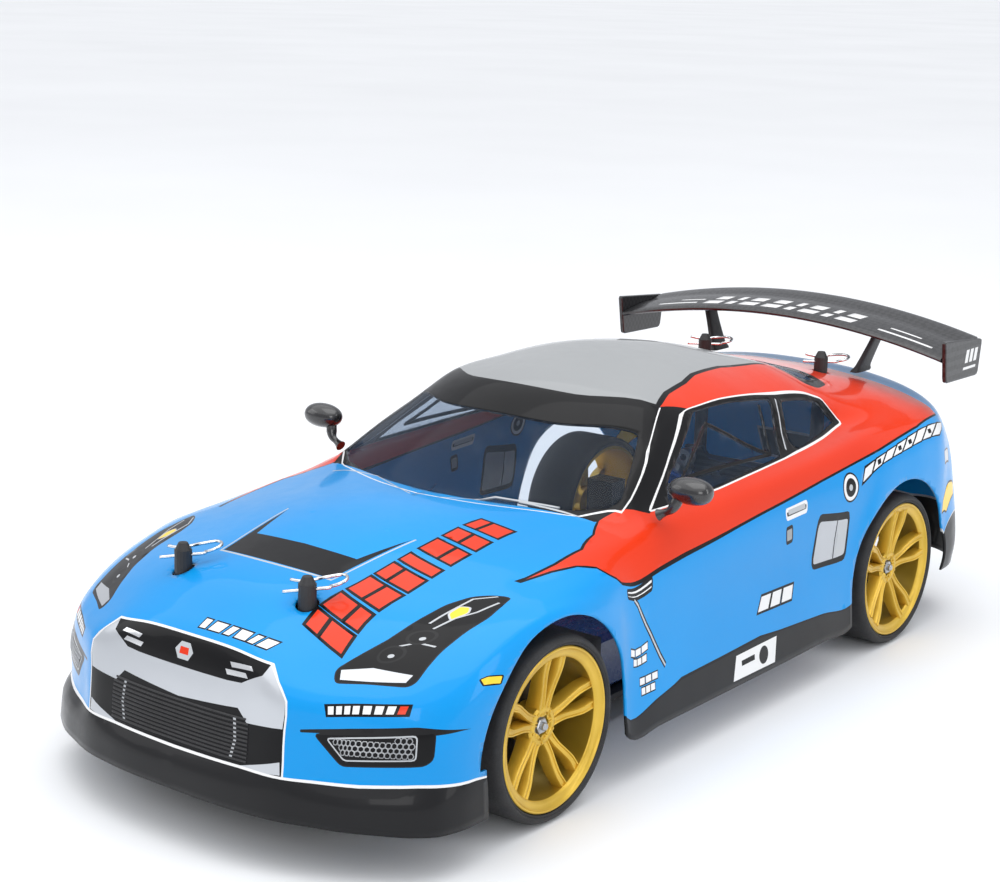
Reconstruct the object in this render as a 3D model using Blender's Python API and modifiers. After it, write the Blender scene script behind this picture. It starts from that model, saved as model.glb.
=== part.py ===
"""A 1:10 radio-controlled four-wheel-drive touring car: painted polycarbonate shell with a rear
wing, held by four posts and clips over a shaft-driven chassis with independent suspension.

Frame: +X is the car's left side, -Y its nose, +Z up; the ground is z = 0 and the origin is the
middle of the overall box on the ground. Sizes below are in millimetres and become metres in at().
Inside the script, y is counted from the middle of the wheelbase.
"""
import math

import bmesh
import bpy
from mathutils import Matrix, Vector

MM = 0.001
GAP = 0.3  # air left between pieces that touch

# ---- overall sizes ------------------------------------------------------------------------------
WHEELBASE = 260.0
BODY_WIDTH = 188.8
BODY_HEIGHT = 139.6  # crown of the roof above the ground
TYRE_RADIUS = 34.4
TYRE_WIDTH = 26.0
TYRE_WALL = 4.2  # from the rim to the tread
WHEEL_INSET = 2.0  # tyre's outer face inside the widest point of the shell
SHELL_WALL = 1.2
ARCH_CLEARANCE = 9.2  # between the tyre's tread and the edge of the wheel arch

# ---- chassis ------------------------------------------------------------------------------------
PLATE_BOTTOM = 9.0
PLATE_THICK = 2.5
PLATE_WIDTH = 104.0
GEARBOX_WIDTH = 34.0
GEARBOX_LENGTH = 36.0
GEARBOX_ABOVE_AXLE = 22.3
DECK_THICK = 2.0
BATTERY = (40.0, 136.0, 24.0)
MOTOR_RADIUS = 17.8
MOTOR_LENGTH = 50.0
SHAFT_RADIUS = 2.5

# ---- spur and pinion ----------------------------------------------------------------------------
GEAR_MODULE = 1.0
SPUR_TEETH = 40
PINION_TEETH = 12
GEAR_WIDTH = 4.0
GEAR_Y = 64.0
GEAR_DROP = 3.2  # motor's axis below the centre shaft

# ---- suspension ---------------------------------------------------------------------------------
ARM_PIVOT_X = 22.0
ARM_PIVOT_Z = 17.5
ARM_THICK = 6.0
PIN_RADIUS = 1.5
BORE_RADIUS = PIN_RADIUS + GAP
HUB_TO_TYRE = 2.5  # carrier's lower pin inboard of the tyre's inner face
HUB_TO_KINGPIN = 8.0
SHOCK_TOP = (30.0, 64.0)
SHOCK_ARM_REACH = 24.0  # lower shock eye outboard of the arm's pivot
SHOCK_FOOT_Z = 25.0
SHOCK_OFFSET = 11.8  # shock ahead of or behind its axle
SHOCK_RADIUS = 5.5
SHOCK_BODY_LENGTH = 26.0
RACK_OFFSET = 25.5  # steering rack behind the front axle
RACK_BELOW_AXLE = 7.9

# ---- posts and clips ----------------------------------------------------------------------------
FRONT_POST_PLACE = (30.2, 61.5)  # across, and ahead of the front axle
REAR_POST_PLACE = (32.0, 27.5)  # across, and behind the rear axle
POST_RADIUS = 3.2
POST_ABOVE_SHELL = 9.8
CLIP_ABOVE_SHELL = 5.0
CLIP_WIRE = 0.65
CLIP_TILT = {"front": 7.0, "rear": 0.0}  # degrees, so that a clip clears the rising bonnet

# ---- wing and mirrors ---------------------------------------------------------------------------
WING_HALF_SPAN = 88.0
WING_BEHIND_AXLE = 37.0
WING_CHORD = 38.5
WING_TOP = 141.5
WING_ARCH = 11.0  # drop of the blade's ends below its middle
WING_PITCH = 5.4  # trailing edge above leading edge
WING_THICK = 3.4
STRUT_FOOT_X = 39.5
STRUT_TOP_X = 47.0
STRUT_BEHIND_AXLE = 53.0
MIRROR_HEAD = (93.0, -50.0, 106.0)
MIRROR_RADII = (9.0, 6.6, 5.6)
MIRROR_FOOT = (79.5, -53.0)
MIRROR_FOOT_GAP = 2.7  # from the shell to the middle of the stalk's end

# ---- shell sections -----------------------------------------------------------------------------
# Half sections of the shell's outer face, nose to tail. Each runs from the centre line over the
# top edge, pillar, beltline, shoulder and door to the lower edge. The values suit the reference
# sizes beside them and are stretched with the wheelbase, width and height.
SECTION_WHEELBASE = 260.0
SECTION_WIDTH = 188.8
SECTION_HEIGHT = 139.6
SECTIONS = (
    # lip, lower edge
    ((0, -229.5, 19.5), (30, -228, 19.2), (47, -224.5, 18.8), (58, -220, 18.4), (68, -215.5, 18),
     (78, -209, 17.5), (86.5, -202, 16.8), (91.5, -195, 16.2), (93.6, -186, 15.7), (93.6, -170, 15.2)),
    # lip, upper edge
    ((0, -228.5, 29.5), (30, -227, 29.5), (46.5, -223.5, 29.3), (57.5, -219, 29), (67.5, -214.3, 28.8),
     (77.5, -207.8, 28.5), (85.8, -200.8, 28), (90.6, -194, 27.7), (92.8, -185.5, 27.4), (92.9, -170, 27.2)),
    # bumper, foot
    ((0, -225.5, 33.6), (30, -224.5, 33.6), (46.8, -222, 33.4), (56.5, -216.6, 33.2), (66, -211.2, 33),
     (76.5, -204.5, 33), (85, -197.5, 32.8), (89.8, -190.5, 32.2), (92, -183, 31.4), (92.3, -170, 30.4)),
    # bumper, middle
    ((0, -223.8, 46), (30, -223, 46.3), (46.6, -220.8, 46.8), (57, -215.5, 46.8), (67, -210, 46.6),
     (77, -203.5, 46.4), (85.3, -196.8, 46.2), (90, -190, 46), (92.2, -182, 45.8), (92.9, -170, 45.4)),
    # bumper, shoulder
    ((0, -221.8, 58.6), (28, -221.2, 59), (46.5, -219.5, 59.4), (57.5, -213.5, 59.8), (67, -207, 59.6),
     (77, -199.8, 59.2), (85, -192, 58.6), (90, -184.5, 58), (92.8, -176, 57), (93.6, -165, 54)),
    # bonnet, leading edge
    ((0, -217.5, 71.3), (20, -217, 70.8), (36.6, -215.4, 68.6), (55, -206.8, 66.3), (65.5, -200.3, 65.6),
     (77, -192.6, 64.9), (85, -185.5, 64.3), (90.3, -178.5, 63.3), (93.2, -170, 61), (94, -159, 56)),
    ((0, -208, 77.2), (19, -207, 76.8), (35, -204.5, 75.4), (54, -197.5, 73), (65.5, -190.3, 72),
     (76.5, -182.5, 71.4), (85, -175, 70.4), (90.5, -168, 69.2), (93.4, -160, 66), (94.2, -150, 57)),
    ((0, -194, 83.8), (18, -193.5, 83.4), (34, -191, 82), (53, -184, 79.6), (65.5, -176.5, 78.2),
     (77, -167.5, 77.2), (86, -159, 75.8), (91, -153, 74), (93.6, -147, 69), (94.2, -142, 58)),
    ((0, -172, 88.6), (18, -171, 88.3), (36, -168, 86.8), (54, -161, 84.6), (66, -154.5, 83.2),
     (78, -147, 81.7), (87, -141, 79.6), (91.6, -138, 77.6), (93.8, -135, 71), (94.3, -132, 58)),
    # over the front axle
    ((0, -138, 95), (19, -137, 94.6), (38, -134, 92.6), (55, -130, 89.8), (67, -126.5, 87.4),
     (79, -121, 84.6), (87.5, -117, 81.2), (91.8, -114, 76.5), (93.8, -112, 68), (94.2, -110, 55)),
    ((0, -108, 97.6), (20, -107, 97.2), (40, -104, 95.4), (56, -100, 92.6), (67.5, -97.5, 90.4),
     (79.5, -95, 87.2), (87, -93, 81), (90.5, -92, 70), (92.6, -93, 52), (93.3, -95, 36)),
    # foot of the windscreen
    ((0, -90, 97.6), (24, -87.5, 97.2), (55, -77, 95.6), (66, -72.2, 93.7), (73, -72, 91.8),
     (80.5, -74, 88.2), (86.6, -76, 78), (89.4, -78, 55), (91.4, -83, 29.2), (93, -83, 17)),
    ((0, -73, 108.6), (26, -70.5, 108), (58, -58, 104.8), (64.5, -54, 103.4), (74.2, -57, 94.6),
     (81.6, -58, 89.8), (87, -60, 79), (89.4, -62, 54), (91.5, -64, 29.8), (93, -64, 17.2)),
    ((0, -57.5, 118.2), (27, -54, 117.2), (55.9, -35, 115.9), (61, -31, 113.8), (75.6, -40, 95.6),
     (82.6, -41, 90.4), (87.4, -42, 79.5), (89.3, -42, 54), (91.6, -42, 30.4), (93.1, -42, 17.3)),
    # header of the windscreen
    ((0, -37, 131), (26, -33, 129.8), (52.6, -13, 125.4), (57.8, -9, 121.6), (75.8, -16, 96.3),
     (83, -16, 91.2), (87.6, -16, 80.5), (89.2, -16, 54), (91.7, -16, 31), (93.2, -16, 17.4)),
    ((0, -10, 137.3), (25, -6, 135), (49.5, 12, 128), (57.4, 14, 122.8), (75.8, 10, 97),
     (83.4, 10, 92), (87.6, 10, 82), (89.1, 10, 54), (91.8, 10, 31.8), (93.3, 10, 17.5)),
    # crown of the roof
    ((0, 22, 139.6), (24, 24, 137), (47.5, 36, 128.8), (57.5, 38, 122.4), (75.5, 36, 97.4),
     (83.6, 36, 93), (87.6, 36, 83.5), (89.1, 36, 54), (91.8, 36, 32.4), (93.3, 36, 17.6)),
    ((0, 52, 137), (23, 53, 134.9), (45, 60, 128), (57.6, 62, 120.8), (75, 61, 98),
     (83.6, 61, 94.2), (87.8, 61, 85.5), (89.4, 61, 54), (91.9, 61, 33), (93.3, 61, 18)),
    ((0, 82, 131.8), (21, 83, 130.2), (42, 88, 126.6), (58, 88, 118.3), (72.5, 88, 99.2),
     (83.4, 86, 96), (88.2, 86, 88), (90.6, 86, 58), (92.2, 86, 33.4), (93.4, 86, 18.4)),
    # foot of the rear window
    ((0, 108, 124.9), (20, 109, 123.9), (41, 111, 121.2), (59, 108, 113.6), (69, 112, 101.4),
     (82.6, 112, 98.2), (89, 110, 90.5), (92.6, 106, 76), (94, 104, 60), (94.4, 102, 42)),
    # over the rear axle
    ((0, 132, 118.8), (20, 133, 118.2), (42, 134, 115.6), (60, 134, 108.6), (70, 134, 103.4),
     (81.5, 134, 99.6), (89, 132, 92.6), (92.8, 130, 79), (94.2, 130, 66), (94.4, 130, 48)),
    ((0, 157, 114.2), (20, 157, 113.8), (40, 157, 111.8), (58, 157, 107.8), (70, 157, 104.6),
     (81, 156, 100.6), (88.6, 154, 94), (92.6, 152, 80), (94, 152, 66), (94.2, 152, 50)),
    ((0, 180, 110.6), (20, 180, 110.2), (40, 179.5, 108.4), (58, 179, 105.6), (70, 178, 102.8),
     (80.5, 177, 98.8), (87, 175, 92), (91.2, 172, 78), (93, 168, 60), (93.4, 164, 44)),
    # trailing edge of the boot
    ((0, 203, 107.2), (20, 203, 106.8), (40, 202, 105), (56, 200, 102.2), (68, 196, 99.2),
     (77, 191, 95.2), (84, 186, 88), (88.6, 181, 76), (91.4, 176, 60), (92.6, 172, 44)),
    ((0, 212, 97), (20, 212, 96.6), (40, 211, 95), (55, 208.7, 92.6), (66, 205.4, 89.6),
     (75.5, 200.6, 85.6), (82.5, 194.8, 79.5), (87.6, 188.4, 68), (90.8, 181, 55), (92.4, 174, 42)),
    ((0, 217, 76), (20, 216.8, 76), (40, 215.8, 75.4), (55, 213.8, 73.8), (66, 210.8, 71.6),
     (75.8, 206, 68), (83, 199.8, 62.8), (88, 192.4, 55), (91, 184, 47), (92.6, 175, 40)),
    ((0, 218.5, 55), (20, 218.4, 55), (40, 217.6, 54.8), (55, 216, 54.2), (66.5, 213.4, 53),
     (76.6, 208.9, 50.6), (84, 202.3, 47.2), (88.8, 194.5, 43), (91.6, 185.6, 39), (92.9, 176, 36)),
    ((0, 218.5, 38), (20, 218.3, 38), (40, 217.5, 38), (55, 216, 38), (66.5, 213.6, 38),
     (77, 209.2, 37), (84.6, 202.8, 35.4), (89.2, 195, 33.6), (92, 186, 31.8), (93.1, 176, 30.4)),
    # rear bumper, lower edge
    ((0, 216, 23), (20, 215.9, 23), (40, 215.1, 23), (55, 213.6, 23.2), (66.5, 211.2, 23.4),
     (77, 206.8, 23.6), (84.6, 200.4, 23.8), (89, 192.5, 24), (91.6, 184, 24.1), (92.8, 174, 24.2)),
)
ROW_STEPS = 2

# ---- derived places -----------------------------------------------------------------------------
STRETCH = Vector((BODY_WIDTH / SECTION_WIDTH, WHEELBASE / SECTION_WHEELBASE, BODY_HEIGHT / SECTION_HEIGHT))
NOSE_Y = SECTIONS[0][0][1] * STRETCH.y
TAIL_Y = SECTIONS[-2][0][1] * STRETCH.y
MIDDLE_Y = -(NOSE_Y + TAIL_Y) / 2  # from the middle of the wheelbase to the origin
AXLES = {"front": -WHEELBASE / 2, "rear": WHEELBASE / 2}
SIDES = {"left": 1, "right": -1}
AXLE_Z = TYRE_RADIUS
STEERING_Z = AXLE_Z - RACK_BELOW_AXLE
GEARBOX_TOP = AXLE_Z + GEARBOX_ABOVE_AXLE
WING_FRONT_Y = AXLES["rear"] + WING_BEHIND_AXLE
WING_REAR_Y = WING_FRONT_Y + WING_CHORD
STRUT_Y = AXLES["rear"] + STRUT_BEHIND_AXLE
WHEEL_X = BODY_WIDTH / 2 - WHEEL_INSET  # outer face of the tyres
PLATE_TOP = PLATE_BOTTOM + PLATE_THICK
FLOOR_TOP = PLATE_TOP + GAP  # underside of what stands on the plate
RIM_RADIUS = TYRE_RADIUS - TYRE_WALL
HUB_X = WHEEL_X - TYRE_WIDTH - HUB_TO_TYRE
KINGPIN_X = HUB_X + HUB_TO_KINGPIN
FRONT_POST = (FRONT_POST_PLACE[0], AXLES["front"] - FRONT_POST_PLACE[1])
REAR_POST = (REAR_POST_PLACE[0], AXLES["rear"] + REAR_POST_PLACE[1])
ARCH_RADIUS = TYRE_RADIUS + ARCH_CLEARANCE
SPUR_RADIUS = GEAR_MODULE * SPUR_TEETH / 2
PINION_RADIUS = GEAR_MODULE * PINION_TEETH / 2
MOTOR_Z = AXLE_Z - GEAR_DROP
MOTOR_X = -math.sqrt((SPUR_RADIUS + PINION_RADIUS) ** 2 - GEAR_DROP**2)
DECK_BOTTOM = GEARBOX_TOP + GAP

X_AXIS, Y_AXIS, Z_AXIS = Vector((1, 0, 0)), Vector((0, 1, 0)), Vector((0, 0, 1))


# ---- helpers ------------------------------------------------------------------------------------
def at(x, y, z):
    """World point in metres of a place in millimetres, y counted from the middle of the wheelbase."""
    return Vector((x, y + MIDDLE_Y, z)) * MM


def clear_scene():
    for obj in list(bpy.data.objects):
        bpy.data.objects.remove(obj, do_unlink=True)


def make_collection(name):
    group = bpy.data.collections.new(name)
    bpy.context.scene.collection.children.link(group)
    return group


def make_material(name, colour, roughness, metallic=0.0):
    material = bpy.data.materials.new(name)
    material.use_nodes = True
    shader = material.node_tree.nodes["Principled BSDF"]
    shader.inputs["Base Color"].default_value = (*colour, 1.0)
    shader.inputs["Roughness"].default_value = roughness
    shader.inputs["Metallic"].default_value = metallic
    return material


def add_object(name, data, material, group=None):
    obj = bpy.data.objects.new(name, data)
    (group or CAR).objects.link(obj)
    if material:
        data.materials.append(material)
    return obj


def mesh_from(bm, name, smooth=True):
    mesh = bpy.data.meshes.new(name)
    bm.to_mesh(mesh)
    bm.free()
    if smooth:
        mesh.shade_smooth()
        mesh.set_sharp_from_angle(angle=math.radians(35))
    return mesh


def put_origin(obj, point):
    """Moves the object's origin to a world point and leaves its shape where it is."""
    obj.data.transform(Matrix.Translation(-point) @ obj.matrix_world)
    obj.matrix_world = Matrix.Translation(point)
    return obj


def tool(obj):
    """Turns an object into a helper that shapes others and isn't a piece itself."""
    for group in list(obj.users_collection):
        group.objects.unlink(obj)
    TOOLS.objects.link(obj)
    obj.hide_render = True
    obj.display_type = "WIRE"
    return obj


def combine(obj, operation, *others):
    for other in others:
        modifier = obj.modifiers.new(f"{operation.lower()} {other.name}", "BOOLEAN")
        modifier.operation = operation
        modifier.solver = "EXACT"
        modifier.object = tool(other)
    return obj


def cut(obj, *others):
    return combine(obj, "DIFFERENCE", *others)


def join(obj, *others):
    return combine(obj, "UNION", *others)


def bevel(obj, width, segments=1):
    modifier = obj.modifiers.new("edges", "BEVEL")
    modifier.width = width * MM
    modifier.segments = segments
    modifier.limit_method = "ANGLE"
    modifier.angle_limit = math.radians(50)
    return obj


def block(name, low, high, material=None, edge=0.0):
    """Box between two corners in millimetres."""
    bm = bmesh.new()
    size = Vector(high) - Vector(low)
    bmesh.ops.create_cube(bm, size=1.0)
    bmesh.ops.scale(bm, vec=size * MM, verts=bm.verts)
    middle = (Vector(low) + Vector(high)) / 2
    bmesh.ops.translate(bm, vec=at(*middle), verts=bm.verts)
    obj = add_object(name, mesh_from(bm, name, smooth=False), material)
    return bevel(obj, edge) if edge else obj


def rod(name, start, end, radius, material=None, sides=16, end_radius=None):
    """Cylinder or cone between two points in millimetres."""
    start, end = at(*start), at(*end)
    bm = bmesh.new()
    length = (end - start).length
    top = radius if end_radius is None else end_radius
    radii = {"radius1": radius * MM, "radius2": top * MM}
    bmesh.ops.create_cone(bm, cap_ends=True, segments=sides, depth=length, **radii)
    turn = (end - start).to_track_quat("Z", "Y").to_matrix().to_4x4()
    bmesh.ops.transform(bm, matrix=Matrix.Translation((start + end) / 2) @ turn, verts=bm.verts)
    return add_object(name, mesh_from(bm, name), material)


def ball(name, centre, radii, material=None, segments=16, rings=8):
    bm = bmesh.new()
    bmesh.ops.create_uvsphere(bm, u_segments=segments, v_segments=rings, radius=1.0)
    bmesh.ops.scale(bm, vec=Vector(radii) * MM, verts=bm.verts)
    bmesh.ops.translate(bm, vec=at(*centre), verts=bm.verts)
    return add_object(name, mesh_from(bm, name), material)


def plate(name, outline, low, high, material=None, axis="Z", window=None):
    """Flat outline with thickness. The outline is in x, y for axis Z and in x, z for axis Y."""
    curve = bpy.data.curves.new(name, "CURVE")
    curve.dimensions = "2D"
    curve.fill_mode = "BOTH"
    curve.extrude = (high - low) / 2 * MM
    for points in (outline, window or ()):
        if not points:
            continue
        spline = curve.splines.new("POLY")
        spline.points.add(len(points) - 1)
        for point, (u, v) in zip(spline.points, points):
            point.co = (u * MM, v * MM, 0, 1)
        spline.use_cyclic_u = True
    guide = bpy.data.objects.new(f"{name} outline", curve)
    CAR.objects.link(guide)
    flat = at(0, 0, (low + high) / 2) if axis == "Z" else at(0, (low + high) / 2, 0)
    turn = Matrix() if axis == "Z" else Matrix.Rotation(math.pi / 2, 4, "X")
    mesh = bpy.data.meshes.new_from_object(guide.evaluated_get(bpy.context.evaluated_depsgraph_get()))
    bpy.data.objects.remove(guide)
    mesh.transform(Matrix.Translation(flat) @ turn)
    bm = bmesh.new()
    bm.from_mesh(mesh)
    bmesh.ops.remove_doubles(bm, verts=bm.verts, dist=1e-6)
    bmesh.ops.recalc_face_normals(bm, faces=bm.faces)
    bm.to_mesh(mesh)
    bm.free()
    mesh.name = name
    mesh.materials.clear()
    return add_object(name, mesh, material)


def loft(name, rings, material=None):
    """Closed solid through rings that have the same number of points."""
    bm = bmesh.new()
    loops = [[bm.verts.new(at(*point)) for point in ring] for ring in rings]
    for first, second in zip(loops, loops[1:]):
        for i in range(len(first)):
            j = (i + 1) % len(first)
            bm.faces.new((first[i], first[j], second[j], second[i]))
    bm.faces.new(loops[0])
    bm.faces.new(loops[-1])
    bmesh.ops.recalc_face_normals(bm, faces=bm.faces)
    return add_object(name, mesh_from(bm, name), material)


def turned(name, profile, centre_y, side, material, sides=40):
    """Solid turned about a wheel's axle from a closed profile of (x, radius) points."""
    mesh = bpy.data.meshes.new(name)
    points = [Vector((side * x, 0, radius)) * MM for x, radius in profile]
    edges = [(i, (i + 1) % len(points)) for i in range(len(points))]
    mesh.from_pydata(points, edges, [])
    obj = add_object(name, mesh, material)
    obj.location = at(0, centre_y, AXLE_Z)
    screw = obj.modifiers.new("turn", "SCREW")
    screw.axis = "X"
    screw.steps = screw.render_steps = sides
    screw.use_normal_flip = side > 0
    screw.use_merge_vertices = True
    screw.merge_threshold = 1e-6
    return obj


def spline(points, steps):
    """Points on a Catmull-Rom curve, steps to each stretch."""
    found = []
    for i in range(len(points) - 1):
        here, there = points[i], points[i + 1]
        before = points[i - 1] if i else here * 2 - there
        after = points[i + 2] if i + 2 < len(points) else there * 2 - here
        for k in range(steps):
            t = k / steps
            found.append(
                0.5 * (2 * here + (there - before) * t + (2 * before - 5 * here + 4 * there - after) * t**2
                       + (3 * here - before - 3 * there + after) * t**3)
            )
    return found + [points[-1]]


# ---- body shell ---------------------------------------------------------------------------------
def stretched(point):
    return Vector(a * b for a, b in zip(point, STRETCH))


def shell_rows():
    """The shell's half sections, with rows added between them."""
    lines = [spline([stretched(p) for p in line], ROW_STEPS) for line in zip(*SECTIONS)]
    return list(zip(*lines))


def shell_height(x, y):
    """Height of the shell's top face at a place, read from the mesh between its rows."""
    best = None
    rows = shell_rows()
    for first, second in zip(rows, rows[1:]):
        for a, b, c, d in zip(first, first[1:], second[1:], second):
            for triangle in ((a, b, c), (a, c, d)):
                height = height_in(triangle, x, y)
                if height is not None and (best is None or height > best):
                    best = height
    return best


def height_in(triangle, x, y):
    a, b, c = triangle
    area = (b.x - a.x) * (c.y - a.y) - (c.x - a.x) * (b.y - a.y)
    if abs(area) < 1e-9:
        return None
    u = ((x - a.x) * (c.y - a.y) - (c.x - a.x) * (y - a.y)) / area
    v = ((b.x - a.x) * (y - a.y) - (x - a.x) * (b.y - a.y)) / area
    if u < -1e-6 or v < -1e-6 or u + v > 1 + 1e-6:
        return None
    return a.z + u * (b.z - a.z) + v * (c.z - a.z)


def arch_cutter(name, axle_y):
    """Prism through both sides: round over the tyre, straight down to below the sill."""
    centre_z = AXLE_Z - 2
    arc = [math.pi * i / 20 for i in range(21)]
    outline = [(axle_y - ARCH_RADIUS * math.cos(a), centre_z + ARCH_RADIUS * math.sin(a)) for a in arc]
    outline += [(axle_y + ARCH_RADIUS - 2, 0), (axle_y - ARCH_RADIUS + 2, 0)]
    reach = BODY_WIDTH
    return loft(name, [[(side * reach, y, z) for y, z in outline] for side in (-1, 1)])


def make_shell():
    bm = bmesh.new()
    rows = [[bm.verts.new(at(*point)) for point in row] for row in shell_rows()]
    for first, second in zip(rows, rows[1:]):
        for a, b, c, d in zip(first, first[1:], second[1:], second):
            bm.faces.new((d, c, b, a))
    shell = add_object("body_shell", mesh_from(bm, "body_shell"), PAINT)
    mirror = shell.modifiers.new("other side", "MIRROR")
    mirror.use_axis = (True, False, False)
    mirror.merge_threshold = 1e-5
    wall = shell.modifiers.new("wall", "SOLIDIFY")
    wall.thickness = SHELL_WALL * MM
    wall.offset = -1
    for x, y in (FRONT_POST, REAR_POST):
        for side in SIDES.values():
            top = shell_height(x, y)
            low, high = (side * x, y, top - 12), (side * x, y, top + 12)
            cut(shell, rod("post hole", low, high, POST_RADIUS + 1.0, sides=12))
    cut(shell, *(arch_cutter(f"{end} arch", y) for end, y in AXLES.items()))
    return put_origin(shell, at(0, 0, AXLE_Z))


# ---- wing ---------------------------------------------------------------------------------------
def blade_height(x, along):
    """Upper face of the blade at x, along 0 at the leading edge and 1 at the trailing edge."""
    arch = WING_ARCH * (x / WING_HALF_SPAN) ** 2
    return WING_TOP - WING_PITCH * (1 - along) ** 1.3 - arch


def blade_ring(x):
    chord = WING_REAR_Y - WING_FRONT_Y
    steps = (0.0, 0.05, 0.2, 0.45, 0.7, 0.92, 1.0)
    depth = {0.0: 0.5, 0.05: 0.75, 0.2: 1.0, 0.45: 1.0, 0.7: 0.8, 0.92: 0.5, 1.0: 0.35}
    upper = [(x, WING_FRONT_Y + chord * s, blade_height(x, s) - (0.8 if s == 0 else 0)) for s in steps]
    lower = [(x, WING_FRONT_Y + chord * s, blade_height(x, s) - WING_THICK * depth[s]) for s in reversed(steps)]
    return upper + lower


def make_wing():
    stations = 17
    span = WING_HALF_SPAN - GAP
    xs = [-span + 2 * span * i / (stations - 1) for i in range(stations)]
    put_origin(loft("wing_blade", [blade_ring(x) for x in xs], BLACK), at(0, WING_FRONT_Y, WING_TOP))
    for name, side in SIDES.items():
        low, high = sorted((side * WING_HALF_SPAN, side * (WING_HALF_SPAN + 2.2)))
        front, rear = WING_FRONT_Y, WING_REAR_Y
        outline = [(front - 0.5, 133), (front + 2.5, 113.5), (rear - 2.5, 113), (rear, 130)]
        rings = [[(x, y, z) for y, z in outline] for x in (low, high)]
        end = loft(f"wing_endplate_{name}", rings, BLACK)
        put_origin(bevel(end, 0.6), at(side * WING_HALF_SPAN, WING_FRONT_Y, 120))
        corners = [(STRUT_FOOT_X + dx, STRUT_Y + dy) for dx in (-3, 3) for dy in (-8, 8)]
        foot_z = max(shell_height(*corner) for corner in corners) + 4 * GAP
        top_z = min(blade_height(STRUT_TOP_X + 3, s) for s in (0.2, 0.6)) - WING_THICK - GAP
        stations = ((0.0, 7.5, 2.6), (0.12, 6.2, 1.7), (1.0, 4.2, 1.5))
        rings = []
        for along, half_y, half_x in stations:
            x = side * (STRUT_FOOT_X + (STRUT_TOP_X - STRUT_FOOT_X) * along)
            z = foot_z + (top_z - foot_z) * along
            y = STRUT_Y + 2.5 * along
            rings.append([(x - half_x, y - half_y, z), (x + half_x, y - half_y, z),
                          (x + half_x, y + half_y, z), (x - half_x, y + half_y, z)])
        put_origin(loft(f"wing_strut_{name}", rings, BLACK), at(side * STRUT_FOOT_X, STRUT_Y, foot_z))


def make_mirrors():
    x, y, z = MIRROR_HEAD
    x *= STRETCH.x
    foot_x, foot_y = MIRROR_FOOT[0] * STRETCH.x, MIRROR_FOOT[1]
    foot_z = shell_height(foot_x, foot_y) + MIRROR_FOOT_GAP
    for name, side in SIDES.items():
        head = ball(f"mirror_{name}", (side * x, y, z), MIRROR_RADII, BLACK, 14, 8)
        stalk = rod("mirror stalk", (side * foot_x, foot_y, foot_z), (side * (x - 2), y, z - 1), 2.2, sides=8)
        put_origin(join(head, stalk), at(side * x, y, z))


# ---- chassis ------------------------------------------------------------------------------------
def make_plate():
    half, neck = PLATE_WIDTH / 2, GEARBOX_WIDTH / 2 + 1.5
    end = WHEELBASE / 2
    waist = [(neck, end - 40), (neck + 8, end - 50), (half - 6, end - 54), (half, end - 62)]
    nose = [(neck, -end - 38), (neck + 12, -end - 46), (neck + 12, -end - 62)]
    left = [(neck, end + 34)] + waist + [(x, -y) for x, y in reversed(waist)] + nose
    outline = left + [(-x, y) for x, y in reversed(left)]
    put_origin(plate("chassis_plate", outline, PLATE_BOTTOM, PLATE_TOP, COMPOSITE), at(0, 0, PLATE_BOTTOM))


def make_gearbox(end, axle_y):
    half_x, half_y = GEARBOX_WIDTH / 2, GEARBOX_LENGTH / 2
    near, far = axle_y - half_y, axle_y + half_y
    box = block(f"{end}_gearbox", (-half_x, near, FLOOR_TOP), (half_x, far, GEARBOX_TOP), NYLON, 2.0)
    parts = []
    for side in SIDES.values():
        x = side * ARM_PIVOT_X
        for way in (-1, 1):
            low, high = sorted((side * (half_x - 2), side * (ARM_PIVOT_X + 3.5)))
            y0, y1 = sorted((axle_y + way * (half_y - 1.7), axle_y + way * (half_y - 0.2)))
            parts.append(block("lug", (low, y0, FLOOR_TOP + 1), (high, y1, 24)))
        parts.append(rod("pin", (x, near + 1, ARM_PIVOT_Z), (x, far - 1, ARM_PIVOT_Z), PIN_RADIUS, sides=8))
    bore = rod("shaft bore", (0, near - 5, AXLE_Z), (0, far + 5, AXLE_Z), SHAFT_RADIUS + 1, sides=16)
    cross = rod("axle bore", (-half_x - 5, axle_y, AXLE_Z), (half_x + 5, axle_y, AXLE_Z), 6.4, sides=20)
    put_origin(cut(join(box, *parts), bore, cross), at(0, axle_y, AXLE_Z))


def make_upper_deck():
    reach = WHEELBASE / 2 + 10
    outline = [(8, reach), (14, reach - 8), (14, reach - 26), (7, reach - 34)]
    outline = outline + [(x, -y) for x, y in reversed(outline)]
    outline += [(-x, y) for x, y in reversed(outline)]
    deck = plate("upper_deck", outline, DECK_BOTTOM, DECK_BOTTOM + DECK_THICK, CARBON)
    put_origin(deck, at(0, 0, DECK_BOTTOM))


def make_tower(end, axle_y):
    """Upright plate that the shocks hang from, against the outer end of the gearbox."""
    way = math.copysign(1, axle_y)
    top_x, top_z = SHOCK_TOP
    near = axle_y + way * (GEARBOX_LENGTH / 2 + GAP)
    low, high = sorted((near, near + way * 3))
    ear = [(top_x + 4, top_z - 5), (top_x + 5, top_z + 4), (top_x - 4, top_z + 4.5), (top_x - 9, top_z - 1)]
    half = [(15.5, 30), (17, 46)] + ear
    outline = half + [(-x, z) for x, z in reversed(half)]
    tower = plate(f"{end}_shock_tower", outline, low, high, CARBON, axis="Y")
    pins = []
    for side in SIDES.values():
        inner = axle_y + way * (SHOCK_OFFSET - 3)
        ends = (side * top_x, inner, top_z), (side * top_x, near + way, top_z)
        pins.append(rod("shock pin", *ends, PIN_RADIUS, sides=8))
    put_origin(join(tower, *pins), at(0, near, top_z))


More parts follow.
